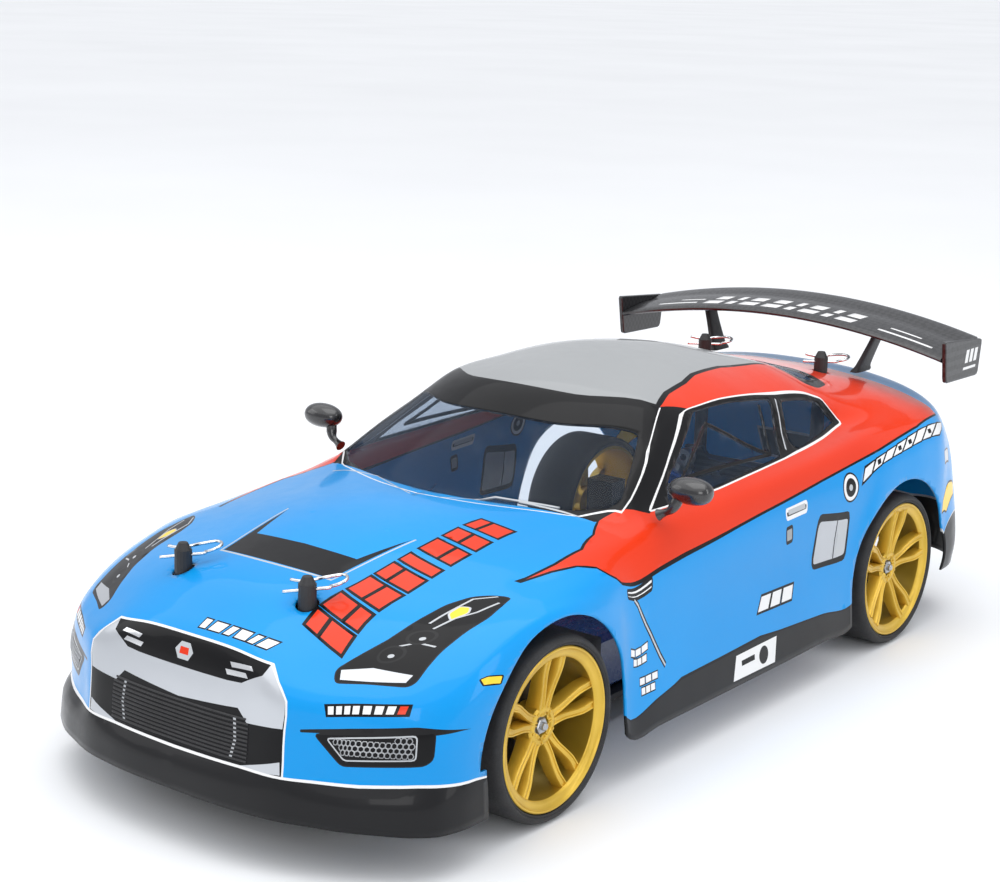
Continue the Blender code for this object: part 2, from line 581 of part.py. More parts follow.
def make_body_mount(end, place):
    """Cross bar with two posts that the shell drops over."""
    x, y = place
    axle_y = AXLES[end]
    way = math.copysign(1, axle_y)
    bar_z = 58.0 if end == "rear" else 46.0
    inner = axle_y + way * (GEARBOX_LENGTH / 2 + 3 + 2 * GAP)
    bar = block(f"{end}_body_mount", (-x - 5, y - 4, bar_z), (x + 5, y + 4, bar_z + 4), NYLON)
    low, high = sorted((inner, y))
    tongue = block("tongue", (-9, low, bar_z + 0.5), (9, high, bar_z + 3.5))
    top = shell_height(x, y) + POST_ABOVE_SHELL
    hole_z = shell_height(x, y) + CLIP_ABOVE_SHELL
    parts, holes = [tongue], []
    for side in SIDES.values():
        parts.append(rod("post", (side * x, y, bar_z + 1), (side * x, y, top - 2.6), POST_RADIUS, sides=16))
        tip_foot, tip_end = (side * x, y, top - 3.0), (side * x, y, top)
        parts.append(rod("tip", tip_foot, tip_end, POST_RADIUS, sides=16, end_radius=1.7))
        reach = clip_direction(end) * 10
        start, finish = Vector((side * x, y, hole_z)) - reach, Vector((side * x, y, hole_z)) + reach
        holes.append(rod("clip hole", start, finish, CLIP_WIRE + 0.45, sides=8))
    put_origin(cut(join(bar, *parts), *holes), at(0, y, bar_z))


def clip_direction(end):
    """The way a clip is pulled out of its post."""
    tilt = math.radians(CLIP_TILT[end])
    return Vector((0.8 * math.cos(tilt), 0.6 * math.cos(tilt), math.sin(tilt)))


def make_clip(end, name, side, x, y):
    """Hairpin of spring wire: one leg through the post, the other round it, a loop to pull."""
    z = shell_height(x, y) + CLIP_ABOVE_SHELL
    along = clip_direction(end)
    across = Vector((-0.6, 0.8, 0))
    centre = Vector((side * x, y, z))
    outer = POST_RADIUS + CLIP_WIRE + GAP
    route = [(-8.5, 0), (7.5, 0)]
    loop = 3.0
    route += [(7.5 + loop + loop * math.sin(a), -loop * math.cos(a) + loop) for a in
              (math.radians(-60 + 30 * i) for i in range(9))]
    route += [(6.0, outer + 0.6), (3.4, outer + 0.9), (0, outer + 0.4), (-3.4, outer + 0.9)]
    route.append((-6.5, outer + 2.2))
    lift = [0.0, 0.0] + [2.4 * math.sin(math.pi * i / 16) for i in range(9)] + [2.4, 2.0, 1.6, 1.8, 2.2]
    label = f"body_clip_{end}_{name}"
    curve = bpy.data.curves.new(label, "CURVE")
    curve.dimensions = "3D"
    curve.bevel_depth = CLIP_WIRE * MM
    curve.bevel_resolution = 1
    curve.use_fill_caps = True
    line = curve.splines.new("POLY")
    line.points.add(len(route) - 1)
    for point, (u, v), up in zip(line.points, route, lift):
        point.co = (*((along * u + across * v + Z_AXIS * up) * MM), 1)
    curve.materials.append(WIRE)
    obj = bpy.data.objects.new(label, curve)
    CAR.objects.link(obj)
    obj.location = at(*centre)


def make_bumper():
    """Foam block on the front end of the plate, inside the nose of the shell."""
    front = NOSE_Y + 18
    back = -WHEELBASE / 2 - 36
    half = [(46, back), (58, back - 8), (54, front + 12), (36, front + 2)]
    outline = half + [(-x, y) for x, y in reversed(half)]
    put_origin(plate("front_bumper", outline, FLOOR_TOP, 40, FOAM), at(0, back, FLOOR_TOP))


def make_electrics():
    width, length, height = BATTERY
    front = GEAR_Y - GEAR_WIDTH - 4 - length
    x = SHAFT_RADIUS + 6
    top = FLOOR_TOP + height
    block("battery", (x, front, FLOOR_TOP), (x + width, front + length, top), SHRINK, 2.5)
    motor_end = GEAR_Y - GEAR_WIDTH / 2 - 2.5
    ends = [(MOTOR_X, motor_end + dy, MOTOR_Z) for dy in (-MOTOR_LENGTH, 0, -1, 0.8)]
    can = rod("motor", ends[0], ends[1], MOTOR_RADIUS, STEEL, 32)
    face = rod("motor face", ends[2], ends[3], 6, sides=20)
    put_origin(join(can, face), at(MOTOR_X, motor_end, MOTOR_Z))
    behind_servo = -28.0
    esc_back = motor_end - MOTOR_LENGTH - 4
    block("speed_controller", (-44, behind_servo, FLOOR_TOP), (-12, esc_back, FLOOR_TOP + 20), NYLON, 1.5)
    servo = block("steering_servo", (-50, -84, FLOOR_TOP), (-10, -64, FLOOR_TOP + 24), NYLON, 1.0)
    boss = rod("servo boss", (-20, -80, FLOOR_TOP + 12), (-20, -86.5, FLOOR_TOP + 12), 4.5, sides=20)
    put_origin(join(servo, boss), at(-20, -84, FLOOR_TOP + 12))


# ---- drive --------------------------------------------------------------------------------------
def gear(name, centre_x, centre_z, teeth, first_angle, bore, material):
    """Toothed wheel about a lengthwise axis; first_angle is where the middle of a tooth points."""
    pitch = GEAR_MODULE * teeth / 2
    tip, root = pitch + 0.85 * GEAR_MODULE, pitch - 1.1 * GEAR_MODULE
    step = math.tau / teeth
    outline = []
    for i in range(teeth):
        middle = first_angle + i * step
        for share, radius in ((-0.27, root), (-0.11, tip), (0.11, tip), (0.27, root)):
            angle = middle + share * step
            outline.append((centre_x + radius * math.cos(angle), centre_z + radius * math.sin(angle)))
    round_bore = [math.tau * i / 16 for i in range(16)]
    window = [(centre_x + bore * math.cos(a), centre_z + bore * math.sin(a)) for a in round_bore]
    obj = plate(name, outline, GEAR_Y - GEAR_WIDTH / 2, GEAR_Y + GEAR_WIDTH / 2, material, "Y", window)
    return put_origin(obj, at(centre_x, GEAR_Y, centre_z))


def make_drive():
    reach = WHEELBASE / 2 - 4
    rod("centre_shaft", (0, -reach, AXLE_Z), (0, reach, AXLE_Z), SHAFT_RADIUS, STEEL, 16)
    put_origin(bpy.data.objects["centre_shaft"], at(0, 0, AXLE_Z))
    mesh_line = math.atan2(MOTOR_Z - AXLE_Z, MOTOR_X)
    gear("spur_gear", 0, AXLE_Z, SPUR_TEETH, mesh_line, SHAFT_RADIUS + GAP, NYLON)
    half_tooth = math.pi / PINION_TEETH
    gear("pinion_gear", MOTOR_X, MOTOR_Z, PINION_TEETH, mesh_line + math.pi + half_tooth, 1.6, BRASS)


def make_drive_shaft(end, axle_y, name, side):
    """Shaft from the differential cup to just short of the wheel carrier, which moves past it."""
    inner = side * 6.0
    outer = side * (HUB_X - 3.4)
    label = f"drive_shaft_{end}_{name}"
    shaft = rod(label, (inner + side, axle_y, AXLE_Z), (outer, axle_y, AXLE_Z), 2.2, STEEL, 12)
    cup = rod("cup", (inner, axle_y, AXLE_Z), (side * 23, axle_y, AXLE_Z), 5.6, sides=16)
    put_origin(join(shaft, cup), at(0, axle_y, AXLE_Z))


# ---- wheels -------------------------------------------------------------------------------------
def make_wheel(end, axle_y, name, side):
    width, rim_r = TYRE_WIDTH, RIM_RADIUS
    inner_x, outer_x = WHEEL_X - width, WHEEL_X
    bore = rim_r + GAP
    tyre = [(inner_x + 0.6, bore), (inner_x, TYRE_RADIUS - 2.2), (inner_x + 2.6, TYRE_RADIUS),
            (outer_x - 2.6, TYRE_RADIUS), (outer_x, TYRE_RADIUS - 2.2), (outer_x - 0.6, bore)]
    turned(f"tyre_{end}_{name}", tyre, axle_y, side, RUBBER, 36)
    lip_x, back_x = outer_x - 0.6, inner_x + 1
    barrel = [(back_x, rim_r), (lip_x, rim_r), (lip_x, rim_r - 1.8), (back_x, rim_r - 1.8)]
    rim = turned(f"rim_{end}_{name}", barrel, axle_y, side, GOLD, 36)
    hub_out = WHEEL_X - 6
    stops = [(side * x, axle_y, AXLE_Z) for x in (KINGPIN_X - 6, hub_out - 8, hub_out - 9, hub_out)]
    parts = [rod("stub", stops[0], stops[1], 3.8, sides=12), rod("hub", stops[2], stops[3], 7.2, sides=16)]
    for i in range(5):
        for lean in (-1, 1):
            parts.append(spoke(side, axle_y, math.tau * i / 5 + math.pi / 2, lean, hub_out))
    join(rim, *parts)


def spoke(side, axle_y, angle, lean, hub_out):
    """One leg of a twin spoke, bowed outwards from hub to rim."""
    rings = []
    for radius, spread, bow in ((5.0, 2.2, 0.0), (17.0, 4.0, 1.2), (RIM_RADIUS - 1.0, 5.6, 2.6)):
        middle = Vector((0, spread * lean, radius))
        half = 1.5
        ring = []
        for dy, dx in ((-half, -4.2), (half, -4.2), (half, 0), (-half, 0)):
            point = Matrix.Rotation(angle - math.pi / 2, 3, "X") @ (middle + Vector((0, dy, 0)))
            ring.append((side * (hub_out - 1 + bow + dx), axle_y + point.y, AXLE_Z + point.z))
        rings.append(ring)
    return loft("spoke", rings)


# ---- suspension ---------------------------------------------------------------------------------
def cross_rod(name, x, y, z, reach, radius):
    """Thin cylinder along the car, reaching as far ahead of its middle as behind."""
    return rod(name, (x, y - reach, z), (x, y + reach, z), radius, sides=8)


def make_arm(end, axle_y, name, side):
    way = math.copysign(1, axle_y)
    hub = HUB_X
    pivot = ARM_PIVOT_X
    half = [(pivot - 3.2, 15.5), (pivot + 5, 15.5), (pivot + SHOCK_ARM_REACH + 3, 15), (hub - 6, 9.2)]
    half += [(hub + 3, 9.2), (hub + 3, 6), (hub - 4.2, 6)]
    outline = [(side * x, axle_y + y) for x, y in half] + [(side * x, axle_y - y) for x, y in reversed(half)]
    gap = ((pivot + 7, 9), (hub - 14, 5), (hub - 14, -5), (pivot + 7, -9))
    window = [(side * x, axle_y + y) for x, y in gap]
    low, high = ARM_PIVOT_Z - ARM_THICK / 2, ARM_PIVOT_Z + ARM_THICK / 2
    arm = plate(f"lower_arm_{end}_{name}", outline, low, high, NYLON, window=window)
    foot_x = side * (pivot + SHOCK_ARM_REACH)
    y0, y1 = sorted((axle_y + way * 15.0, axle_y + way * 17.2))
    lug = block("shock lug", (foot_x - 2.6, y0 - 0.2 * (way > 0), low), (foot_x + 2.6, y1, SHOCK_FOOT_Z + 2.6))
    stops = [(foot_x, axle_y + way * dy, SHOCK_FOOT_Z) for dy in (8.8, 16)]
    shock_pin = rod("foot pin", *stops, PIN_RADIUS, sides=8)
    hub_pin = cross_rod("hub pin", side * hub, axle_y, ARM_PIVOT_Z, 8, PIN_RADIUS)
    bore = cross_rod("pivot bore", side * pivot, axle_y, ARM_PIVOT_Z, 20, BORE_RADIUS)
    put_origin(cut(join(arm, lug, shock_pin, hub_pin), bore), at(side * pivot, axle_y, ARM_PIVOT_Z))


def make_front_corner(axle_y, name, side):
    """C-shaped carrier on the arm, and the steering knuckle between its jaws."""
    hub, king = HUB_X, KINGPIN_X
    low, high = ARM_PIVOT_Z - 3, AXLE_Z + 18.6

    def span(x0, x1):
        return sorted((side * x0, side * x1))

    x0, x1 = span(hub - 3, hub + 1.5)
    carrier = block(f"front_carrier_{name}", (x0, axle_y - 5.6, low), (x1, axle_y + 5.6, high), NYLON)
    x0, x1 = span(hub, king + 4)
    jaws = [block("lower jaw", (x0, axle_y - 5.6, low), (x1, axle_y + 5.6, low + 5)),
            block("upper jaw", (x0, axle_y - 5.6, high - 5), (x1, axle_y + 5.6, high))]
    ends = [(side * (hub + dx), axle_y, AXLE_Z) for dx in (-9, 5)]
    shaft_way = rod("shaft way", *ends, 4.6, sides=16)
    pin_way = cross_rod("pin way", side * hub, axle_y, ARM_PIVOT_Z, 9, BORE_RADIUS)
    ends = [(side * king, axle_y, z) for z in (low - 2, high + 2)]
    king_way = rod("kingpin way", *ends, BORE_RADIUS, sides=8)
    put_origin(cut(join(carrier, *jaws), shaft_way, pin_way, king_way), at(side * hub, axle_y, ARM_PIVOT_Z))
    x0, x1 = span(king - 4, king + 5)
    corners = (x0, axle_y - 4.6, low + 5.6), (x1, axle_y + 4.6, high - 5.6)
    knuckle = block(f"steering_knuckle_{name}", *corners, NYLON)
    ends = [(side * king, axle_y, z) for z in (low + 0.5, high - 0.5)]
    pins = rod("kingpin", *ends, PIN_RADIUS, sides=8)
    reach = RACK_OFFSET + 3
    bent = ((-3, 3), (2.5, 3), (2.5, 10), (-6.5, reach), (-11, reach), (-11, reach - 4.5), (-3, 12))
    outline = [(side * (king + x), axle_y + y) for x, y in bent]
    arm = plate("steering arm", outline, STEERING_Z - 2, STEERING_Z + 2)
    ends = [(side * (king + dx), axle_y, AXLE_Z) for dx in (-9, 9)]
    stub_way = rod("stub way", *ends, 4.2, sides=16)
    put_origin(cut(join(knuckle, pins, arm), stub_way), at(side * king, axle_y, AXLE_Z))


def make_rear_corner(axle_y, name, side):
    hub, king = HUB_X, KINGPIN_X
    low, high = ARM_PIVOT_Z - 3, AXLE_Z + 14
    x0, x1 = sorted((side * (hub - 3), side * (king + 4)))
    carrier = block(f"rear_carrier_{name}", (x0, axle_y - 5.6, low), (x1, axle_y + 5.6, high), NYLON)
    inner, outer = (side * (hub - 9), axle_y, AXLE_Z), (side * (king + 9), axle_y, AXLE_Z)
    way = rod("stub way", inner, outer, 4.6, sides=16)
    pin_way = cross_rod("pin way", side * hub, axle_y, ARM_PIVOT_Z, 9, BORE_RADIUS)
    put_origin(cut(carrier, way, pin_way), at(side * hub, axle_y, ARM_PIVOT_Z))


def make_shock(end, axle_y, name, side):
    """Damper body hung from the tower and the rod that slides in it, its eye on the arm."""
    y = axle_y + math.copysign(SHOCK_OFFSET, axle_y)
    top = Vector((side * SHOCK_TOP[0], y, SHOCK_TOP[1]))
    foot = Vector((side * (ARM_PIVOT_X + SHOCK_ARM_REACH), y, SHOCK_FOOT_Z))
    line = (foot - top).normalized()
    cap_start = top + line * 3
    body_end = top + line * (SHOCK_BODY_LENGTH + 3)
    body = rod(f"shock_body_{end}_{name}", cap_start, body_end, SHOCK_RADIUS, ALUMINIUM, 20)
    eye = rod("shock eye", top - Y_AXIS * 2.5, top + Y_AXIS * 2.5, 4.2, sides=16)
    eye_hole = rod("eye hole", top - Y_AXIS * 6, top + Y_AXIS * 6, BORE_RADIUS, sides=8)
    bore = rod("damper bore", top + line * 8, body_end + line * 3, 1.9, sides=12)
    put_origin(cut(join(body, eye), eye_hole, bore), at(*top))
    stem = rod(f"shock_rod_{end}_{name}", top + line * 16, foot - line * 3, 1.4, STEEL, 12)
    foot_eye = rod("foot eye", foot - Y_AXIS * 2.5, foot + Y_AXIS * 2.5, 3.6, sides=16)
    foot_hole = rod("foot hole", foot - Y_AXIS * 6, foot + Y_AXIS * 6, BORE_RADIUS, sides=8)
    seat = rod("spring seat", foot - line * 6.5, foot - line * 4.7, 5.2, sides=16)
    put_origin(cut(join(stem, foot_eye, seat), foot_hole), at(*foot))


# ---- steering -----------------------------------------------------------------------------------
def make_steering():
    y = AXLES["front"] + RACK_OFFSET
    end_x = KINGPIN_X - 16
    low, high = STEERING_Z - 2, STEERING_Z + 2
    rack = block("steering_rack", (-end_x, y - 1.5, low), (end_x, y + 1.5, high), ALUMINIUM)
    put_origin(rack, at(0, y, STEERING_Z))
    z = FLOOR_TOP + 12
    horn = block("servo_horn", (-22.5, -90.3, z - 4), (-17.5, -87, z + 16), NYLON, 0.8)
    put_origin(horn, at(-20, -87, z))


# ---- the whole car ------------------------------------------------------------------------------
clear_scene()
CAR = make_collection("rc_car")
TOOLS = make_collection("tools")
PAINT = make_material("shell_paint", (0.03, 0.28, 0.75), 0.15)
BLACK = make_material("gloss_black", (0.012, 0.012, 0.013), 0.25)
NYLON = make_material("black_nylon", (0.02, 0.02, 0.022), 0.5)
COMPOSITE = make_material("chassis_composite", (0.03, 0.03, 0.032), 0.5)
CARBON = make_material("carbon_plate", (0.03, 0.03, 0.035), 0.35)
FOAM = make_material("bumper_foam", (0.02, 0.02, 0.02), 0.9)
SHRINK = make_material("battery_wrap", (0.05, 0.12, 0.4), 0.35)
STEEL = make_material("steel", (0.55, 0.56, 0.58), 0.3, 1.0)
ALUMINIUM = make_material("aluminium", (0.7, 0.7, 0.72), 0.3, 1.0)
BRASS = make_material("brass", (0.75, 0.55, 0.25), 0.3, 1.0)
WIRE = make_material("spring_wire", (0.7, 0.7, 0.72), 0.2, 1.0)
GOLD = make_material("gold_rim", (0.75, 0.5, 0.1), 0.3, 0.9)
RUBBER = make_material("tyre_rubber", (0.02, 0.02, 0.02), 0.7)

make_shell()
make_wing()
make_mirrors()
make_plate()
make_upper_deck()
make_bumper()
make_electrics()
make_drive()
make_steering()
for post_end, post in (("front", FRONT_POST), ("rear", REAR_POST)):
    make_body_mount(post_end, post)
    for side_name, side_sign in SIDES.items():
        make_clip(post_end, side_name, side_sign, *post)
for axle_name, axle_at in AXLES.items():
    make_gearbox(axle_name, axle_at)
    make_tower(axle_name, axle_at)
    for side_name, side_sign in SIDES.items():
        corner = (axle_name, axle_at, side_name, side_sign)
        make_wheel(*corner)
        make_drive_shaft(*corner)
        make_arm(*corner)
        make_shock(*corner)
        if axle_name == "front":
            make_front_corner(axle_at, side_name, side_sign)
        else:
            make_rear_corner(axle_at, side_name, side_sign)
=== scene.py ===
"""Looks of a touring-style remote control car: painted clear shell, chassis, running gear and studio."""

import math

import bmesh
import bpy
import numpy as np
from mathutils import Matrix, Vector, geometry
from mathutils.bvhtree import BVHTree


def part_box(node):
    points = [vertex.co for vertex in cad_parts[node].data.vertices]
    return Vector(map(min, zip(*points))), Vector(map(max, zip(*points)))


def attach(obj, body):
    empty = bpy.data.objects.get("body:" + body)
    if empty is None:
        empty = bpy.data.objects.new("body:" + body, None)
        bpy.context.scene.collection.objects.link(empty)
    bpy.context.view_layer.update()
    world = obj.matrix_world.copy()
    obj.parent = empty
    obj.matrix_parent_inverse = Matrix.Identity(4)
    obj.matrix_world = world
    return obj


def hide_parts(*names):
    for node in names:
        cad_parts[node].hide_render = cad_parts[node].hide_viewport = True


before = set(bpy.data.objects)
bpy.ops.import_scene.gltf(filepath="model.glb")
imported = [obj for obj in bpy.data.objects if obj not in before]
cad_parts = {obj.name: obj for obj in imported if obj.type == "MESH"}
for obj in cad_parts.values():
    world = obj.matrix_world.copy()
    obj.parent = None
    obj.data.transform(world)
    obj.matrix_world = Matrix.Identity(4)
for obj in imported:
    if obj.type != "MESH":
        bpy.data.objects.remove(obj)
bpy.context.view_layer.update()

MM = 0.001
AXLE_SHIFT = 5.5  # mm from the middle of the wheelbase to the model's own middle
AXLE_HEIGHT = 34.4
AXLES = {"front": -130.0, "rear": 130.0}  # mm from the middle of the wheelbase
SIDES = {"left": 1, "right": -1}
TYRE_RADIUS = 34.4
TYRE_FACE = 92.4  # outer face of a tyre, from the middle of the car
TYRE_WIDTH = 26.0

# ---- camera, light and floor --------------------------------------------------------------------
CAMERA_PLACE = (0.4777, -0.6649, 0.2956)
CAMERA_TURN = (37.451, 13.347, 1.429)  # degrees round the car, down, and roll
CAMERA_LENS = 72.47
CAMERA_SENSOR = 36
WORLD_COLOUR, WORLD_STRENGTH = (0.93, 0.95, 1.0, 1), 0.66
GLOW_STRENGTH, GLOW_WIDTH, GLOW_TURN = 1.5, 100, (8, -6, 0)  # the last two in degrees
FLOOR_RADIUS, FLOOR_DROP = 30.0, 0.0002  # metres
SOFT_LIGHTS = (  # name, place, aim, size and power
    ("overhead softbox", (0.1, -0.1, 1.5), (0, 0, 0), (1.6, 1.2), 9),
    ("front softbox", (1.3, -1.5, 0.9), (0, 0, 0.05), (0.9, 0.7), 7),
    ("side strip", (1.7, 0.5, 0.75), (0, 0.05, 0.05), (0.4, 1.4), 5),
    ("far fill", (-1.4, -0.8, 0.8), (0, 0, 0.05), (1.0, 0.8), 3),
)


def set_camera():
    turn, down, roll = (math.radians(a) for a in CAMERA_TURN)
    back = Vector((math.sin(turn) * math.cos(down), -math.cos(turn) * math.cos(down), math.sin(down)))
    right = Vector((0, 0, 1)).cross(back).normalized()
    up = back.cross(right)
    level = math.cos(roll) * right + math.sin(roll) * up
    top = -math.sin(roll) * right + math.cos(roll) * up
    camera = bpy.data.objects.new("camera", bpy.data.cameras.new("camera"))
    camera.data.lens, camera.data.sensor_width = CAMERA_LENS, CAMERA_SENSOR
    camera.data.clip_start, camera.data.clip_end = 0.01, 50
    grid = Matrix((level, top, back)).transposed().to_4x4()
    camera.matrix_world = Matrix.Translation(CAMERA_PLACE) @ grid
    bpy.context.collection.objects.link(camera)
    bpy.context.scene.camera = camera


def soft_light(name, place, aim, size, power):
    data = bpy.data.lights.new(name, "AREA")
    data.shape, data.size, data.size_y = "RECTANGLE", size[0], size[1]
    data.energy = power
    lamp = bpy.data.objects.new(name, data)
    way = Vector(aim) - Vector(place)
    lamp.matrix_world = Matrix.Translation(place) @ way.to_track_quat("-Z", "Y").to_matrix().to_4x4()
    bpy.context.collection.objects.link(lamp)


def light_world(scene):
    """Even light all round, and pure white where the camera sees past the floor."""
    world = bpy.data.worlds.new("studio")
    world.use_nodes = True
    scene.world = world
    tree = world.node_tree
    glow, output = tree.nodes["Background"], tree.nodes["World Output"]
    glow.inputs["Color"].default_value, glow.inputs["Strength"].default_value = WORLD_COLOUR, WORLD_STRENGTH
    seen = add_node(tree, "ShaderNodeBackground", Color=(1, 1, 1, 1), Strength=1.0)
    rays, choice = tree.nodes.new("ShaderNodeLightPath"), tree.nodes.new("ShaderNodeMixShader")
    join(tree, (rays, "Is Camera Ray", choice, "Fac"), (glow, "Background", choice, 1),
         (seen, "Background", choice, 2), (choice, "Shader", output, "Surface"))


def set_studio():
    scene = bpy.context.scene
    scene.view_settings.view_transform = "Standard"
    light_world(scene)
    for light in SOFT_LIGHTS:
        soft_light(*light)
    data = bpy.data.lights.new("ceiling glow", "SUN")
    data.energy, data.angle = GLOW_STRENGTH, math.radians(GLOW_WIDTH)
    lamp = bpy.data.objects.new("ceiling glow", data)
    lamp.rotation_euler = [math.radians(a) for a in GLOW_TURN]
    bpy.context.collection.objects.link(lamp)
    mesh = bpy.data.meshes.new("floor")
    bm = bmesh.new()
    bmesh.ops.create_circle(bm, cap_ends=True, segments=64, radius=FLOOR_RADIUS)
    bm.to_mesh(mesh)
    bm.free()
    floor = bpy.data.objects.new("floor", mesh)
    bpy.context.collection.objects.link(floor)
    mesh.transform(Matrix.Translation((0, 0, -FLOOR_DROP)))
    floor.data.materials.append(floor_paper())


# ---- materials ----------------------------------------------------------------------------------
def new_material(name):
    material = bpy.data.materials.new(name)
    material.use_nodes = True
    shader = material.node_tree.nodes["Principled BSDF"]
    return material, material.node_tree, shader


def add_node(tree, kind, **inputs):
    node = tree.nodes.new(kind)
    for key, value in inputs.items():
        node.inputs[key.replace("_", " ")].default_value = value
    return node


def join(tree, *links):
    """Each link is a node, its output, the next node and its input."""
    for source, output, target, name in links:
        tree.links.new(source.outputs[output], target.inputs[name])


def object_grain(tree, scale, detail=4.0, roughness=0.6):
    """A noise in the piece's own place, its scale in cycles to the millimetre."""
    place = tree.nodes.new("ShaderNodeTexCoord")
    fit = add_node(tree, "ShaderNodeMapping", Scale=(1 / MM, 1 / MM, 1 / MM))
    grain = add_node(tree, "ShaderNodeTexNoise", Scale=scale, Detail=detail, Roughness=roughness)
    join(tree, (place, "Object", fit, "Vector"), (fit, "Vector", grain, "Vector"))
    return grain.outputs["Fac"]


def spread(tree, source, low, high, start=0.3, end=0.7):
    node = add_node(tree, "ShaderNodeMapRange", From_Min=start, From_Max=end, To_Min=low, To_Max=high)
    tree.links.new(source, node.inputs["Value"])
    return node.outputs["Result"]


def tones(tree, source, dark, light, start=0.3, end=0.7):
    ramp = tree.nodes.new("ShaderNodeValToRGB")
    first, last = ramp.color_ramp.elements
    first.position, last.position = start, end
    first.color, last.color = (*dark, 1), (*light, 1)
    tree.links.new(source, ramp.inputs["Fac"])
    return ramp.outputs["Color"]


def raised(tree, source, shader, height_mm, strength=1.0):
    bump = add_node(tree, "ShaderNodeBump", Strength=strength, Distance=height_mm * MM)
    tree.links.new(source, bump.inputs["Height"])
    tree.links.new(bump.outputs["Normal"], shader.inputs["Normal"])


BROAD_SHARE = 0.07  # scale of the broad grain in that of the fine one


def finish(name, dark, light, rough, metal=0.0, grain=0.4, bump=0.02, coat=0.0, coat_rough=0.05):
    """A surface whose tone, roughness and relief all vary a little with a fine grain."""
    material, tree, shader = new_material(name)
    fine = object_grain(tree, grain)
    broad = object_grain(tree, grain * BROAD_SHARE, detail=2.0)
    tree.links.new(tones(tree, broad, dark, light), shader.inputs["Base Color"])
    tree.links.new(spread(tree, fine, rough[0], rough[1]), shader.inputs["Roughness"])
    raised(tree, fine, shader, bump)
    shader.inputs["Metallic"].default_value = metal
    shader.inputs["Coat Weight"].default_value = coat
    shader.inputs["Coat Roughness"].default_value = coat_rough
    material.diffuse_color = (*light, 1)
    return material


PAINT_GLOSS, PAINT_COAT_INDEX = 0.12, 1.28


def shell_paint(name, dark, light, metal=0.0, rough=(0.3, 0.4), coat=0.7):
    """Paint seen through a clear glossy skin, with a very slight ripple."""
    material = finish(name, dark, light, rough, metal, grain=0.12, bump=0.004, coat=coat)
    shader = material.node_tree.nodes["Principled BSDF"]
    shader.inputs["Specular IOR Level"].default_value = PAINT_GLOSS
    shader.inputs["Coat IOR"].default_value = PAINT_COAT_INDEX
    return material


def floor_paper():
    return finish("floor paper", (0.80, 0.81, 0.82), (0.84, 0.85, 0.86), (0.6, 0.75), grain=0.02,
                  bump=0.01)


PANE_TINT = (0.84, 0.88, 0.93, 1)
PANE_FACING, PANE_EDGE = 0.03, 0.75  # share reflected, square on and at the edge


def clear_sheet(name):
    """Thin clear plastic: mostly see-through, with a sharp reflection and faint smears."""
    material, tree, shader = new_material(name)
    shader.inputs["Base Color"].default_value = (0.05, 0.07, 0.10, 1)
    shader.inputs["Specular IOR Level"].default_value = 0.8
    smear = object_grain(tree, 0.05, detail=3.0)
    tree.links.new(spread(tree, smear, 0.03, 0.09), shader.inputs["Roughness"])
    through = add_node(tree, "ShaderNodeBsdfTransparent", Color=PANE_TINT)
    edge = add_node(tree, "ShaderNodeLayerWeight", Blend=0.12)
    share = add_node(tree, "ShaderNodeMapRange", To_Min=PANE_FACING, To_Max=PANE_EDGE)
    mix = tree.nodes.new("ShaderNodeMixShader")
    join(tree, (edge, "Facing", share, "Value"), (share, "Result", mix, "Fac"), (through, "BSDF", mix, 1),
         (shader, "BSDF", mix, 2), (mix, "Shader", tree.nodes["Material Output"], "Surface"))
    return material


def woven_carbon(name, cell=1.6, dark=(0.004, 0.004, 0.005), light=(0.035, 0.036, 0.04), coat=0.8):
    """Twill of two crossing bands under a clear coat."""
    material, tree, shader = new_material(name)
    place = tree.nodes.new("ShaderNodeTexCoord")
    turn = add_node(tree, "ShaderNodeMapping", Rotation=(0, 0, math.radians(45)), Scale=[1000 / cell] * 3)
    weave = add_node(tree, "ShaderNodeTexChecker", Scale=1.0, Color1=(*dark, 1), Color2=(*light, 1))
    join(tree, (place, "Object", turn, "Vector"), (turn, "Vector", weave, "Vector"),
         (weave, "Color", shader, "Base Color"))
    tree.links.new(spread(tree, object_grain(tree, 0.5), 0.28, 0.42), shader.inputs["Roughness"])
    raised(tree, weave.outputs["Fac"], shader, 0.01, 0.5)
    shader.inputs["Coat Weight"].default_value = coat
    shader.inputs["Coat Roughness"].default_value = 0.06
    return material


# ---- mesh help ----------------------------------------------------------------------------------
def turns(count):
    """Cosine and sine at equal steps of a full turn."""
    return [(math.cos(math.tau * k / count), math.sin(math.tau * k / count)) for k in range(count)]


def node_box(name):
    """Lowest and highest corner of a CAD node, in millimetres from the middle of the wheelbase."""
    return [Vector(corner) / MM - Vector((0, AXLE_SHIFT, 0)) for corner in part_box(name)]


def new_piece(name, mesh, body, *materials, smooth=True):
    piece = bpy.data.objects.new(name, mesh)
    bpy.context.collection.objects.link(piece)
    for material in materials:
        mesh.materials.append(material)
    if smooth:
        mesh.shade_smooth()
    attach(piece, body)
    return piece


def built(builder, name, body, material, angle=None, node=None, smooth=True):
    """Piece of a builder's mesh, smooth up to an angle in degrees; node is the CAD node it replaces."""
    piece = new_piece(name, builder.mesh(name), body, material, smooth=smooth)
    if angle:
        piece.data.set_sharp_from_angle(angle=math.radians(angle))
    if node:
        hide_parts(node)
    return piece


def mesh_of(name, points, faces, kinds=None):
    """Mesh from places in millimetres, measured from the middle of the wheelbase."""
    mesh = bpy.data.meshes.new(name)
    moved = [(x * MM, (y + AXLE_SHIFT) * MM, z * MM) for x, y, z in points]
    mesh.from_pydata(moved, [], faces)
    if kinds is not None:
        mesh.polygons.foreach_set("material_index", kinds)
    mesh.validate()
    mesh.update()
    return mesh


WELD = 0.004  # mm, below which points of one mesh are the same


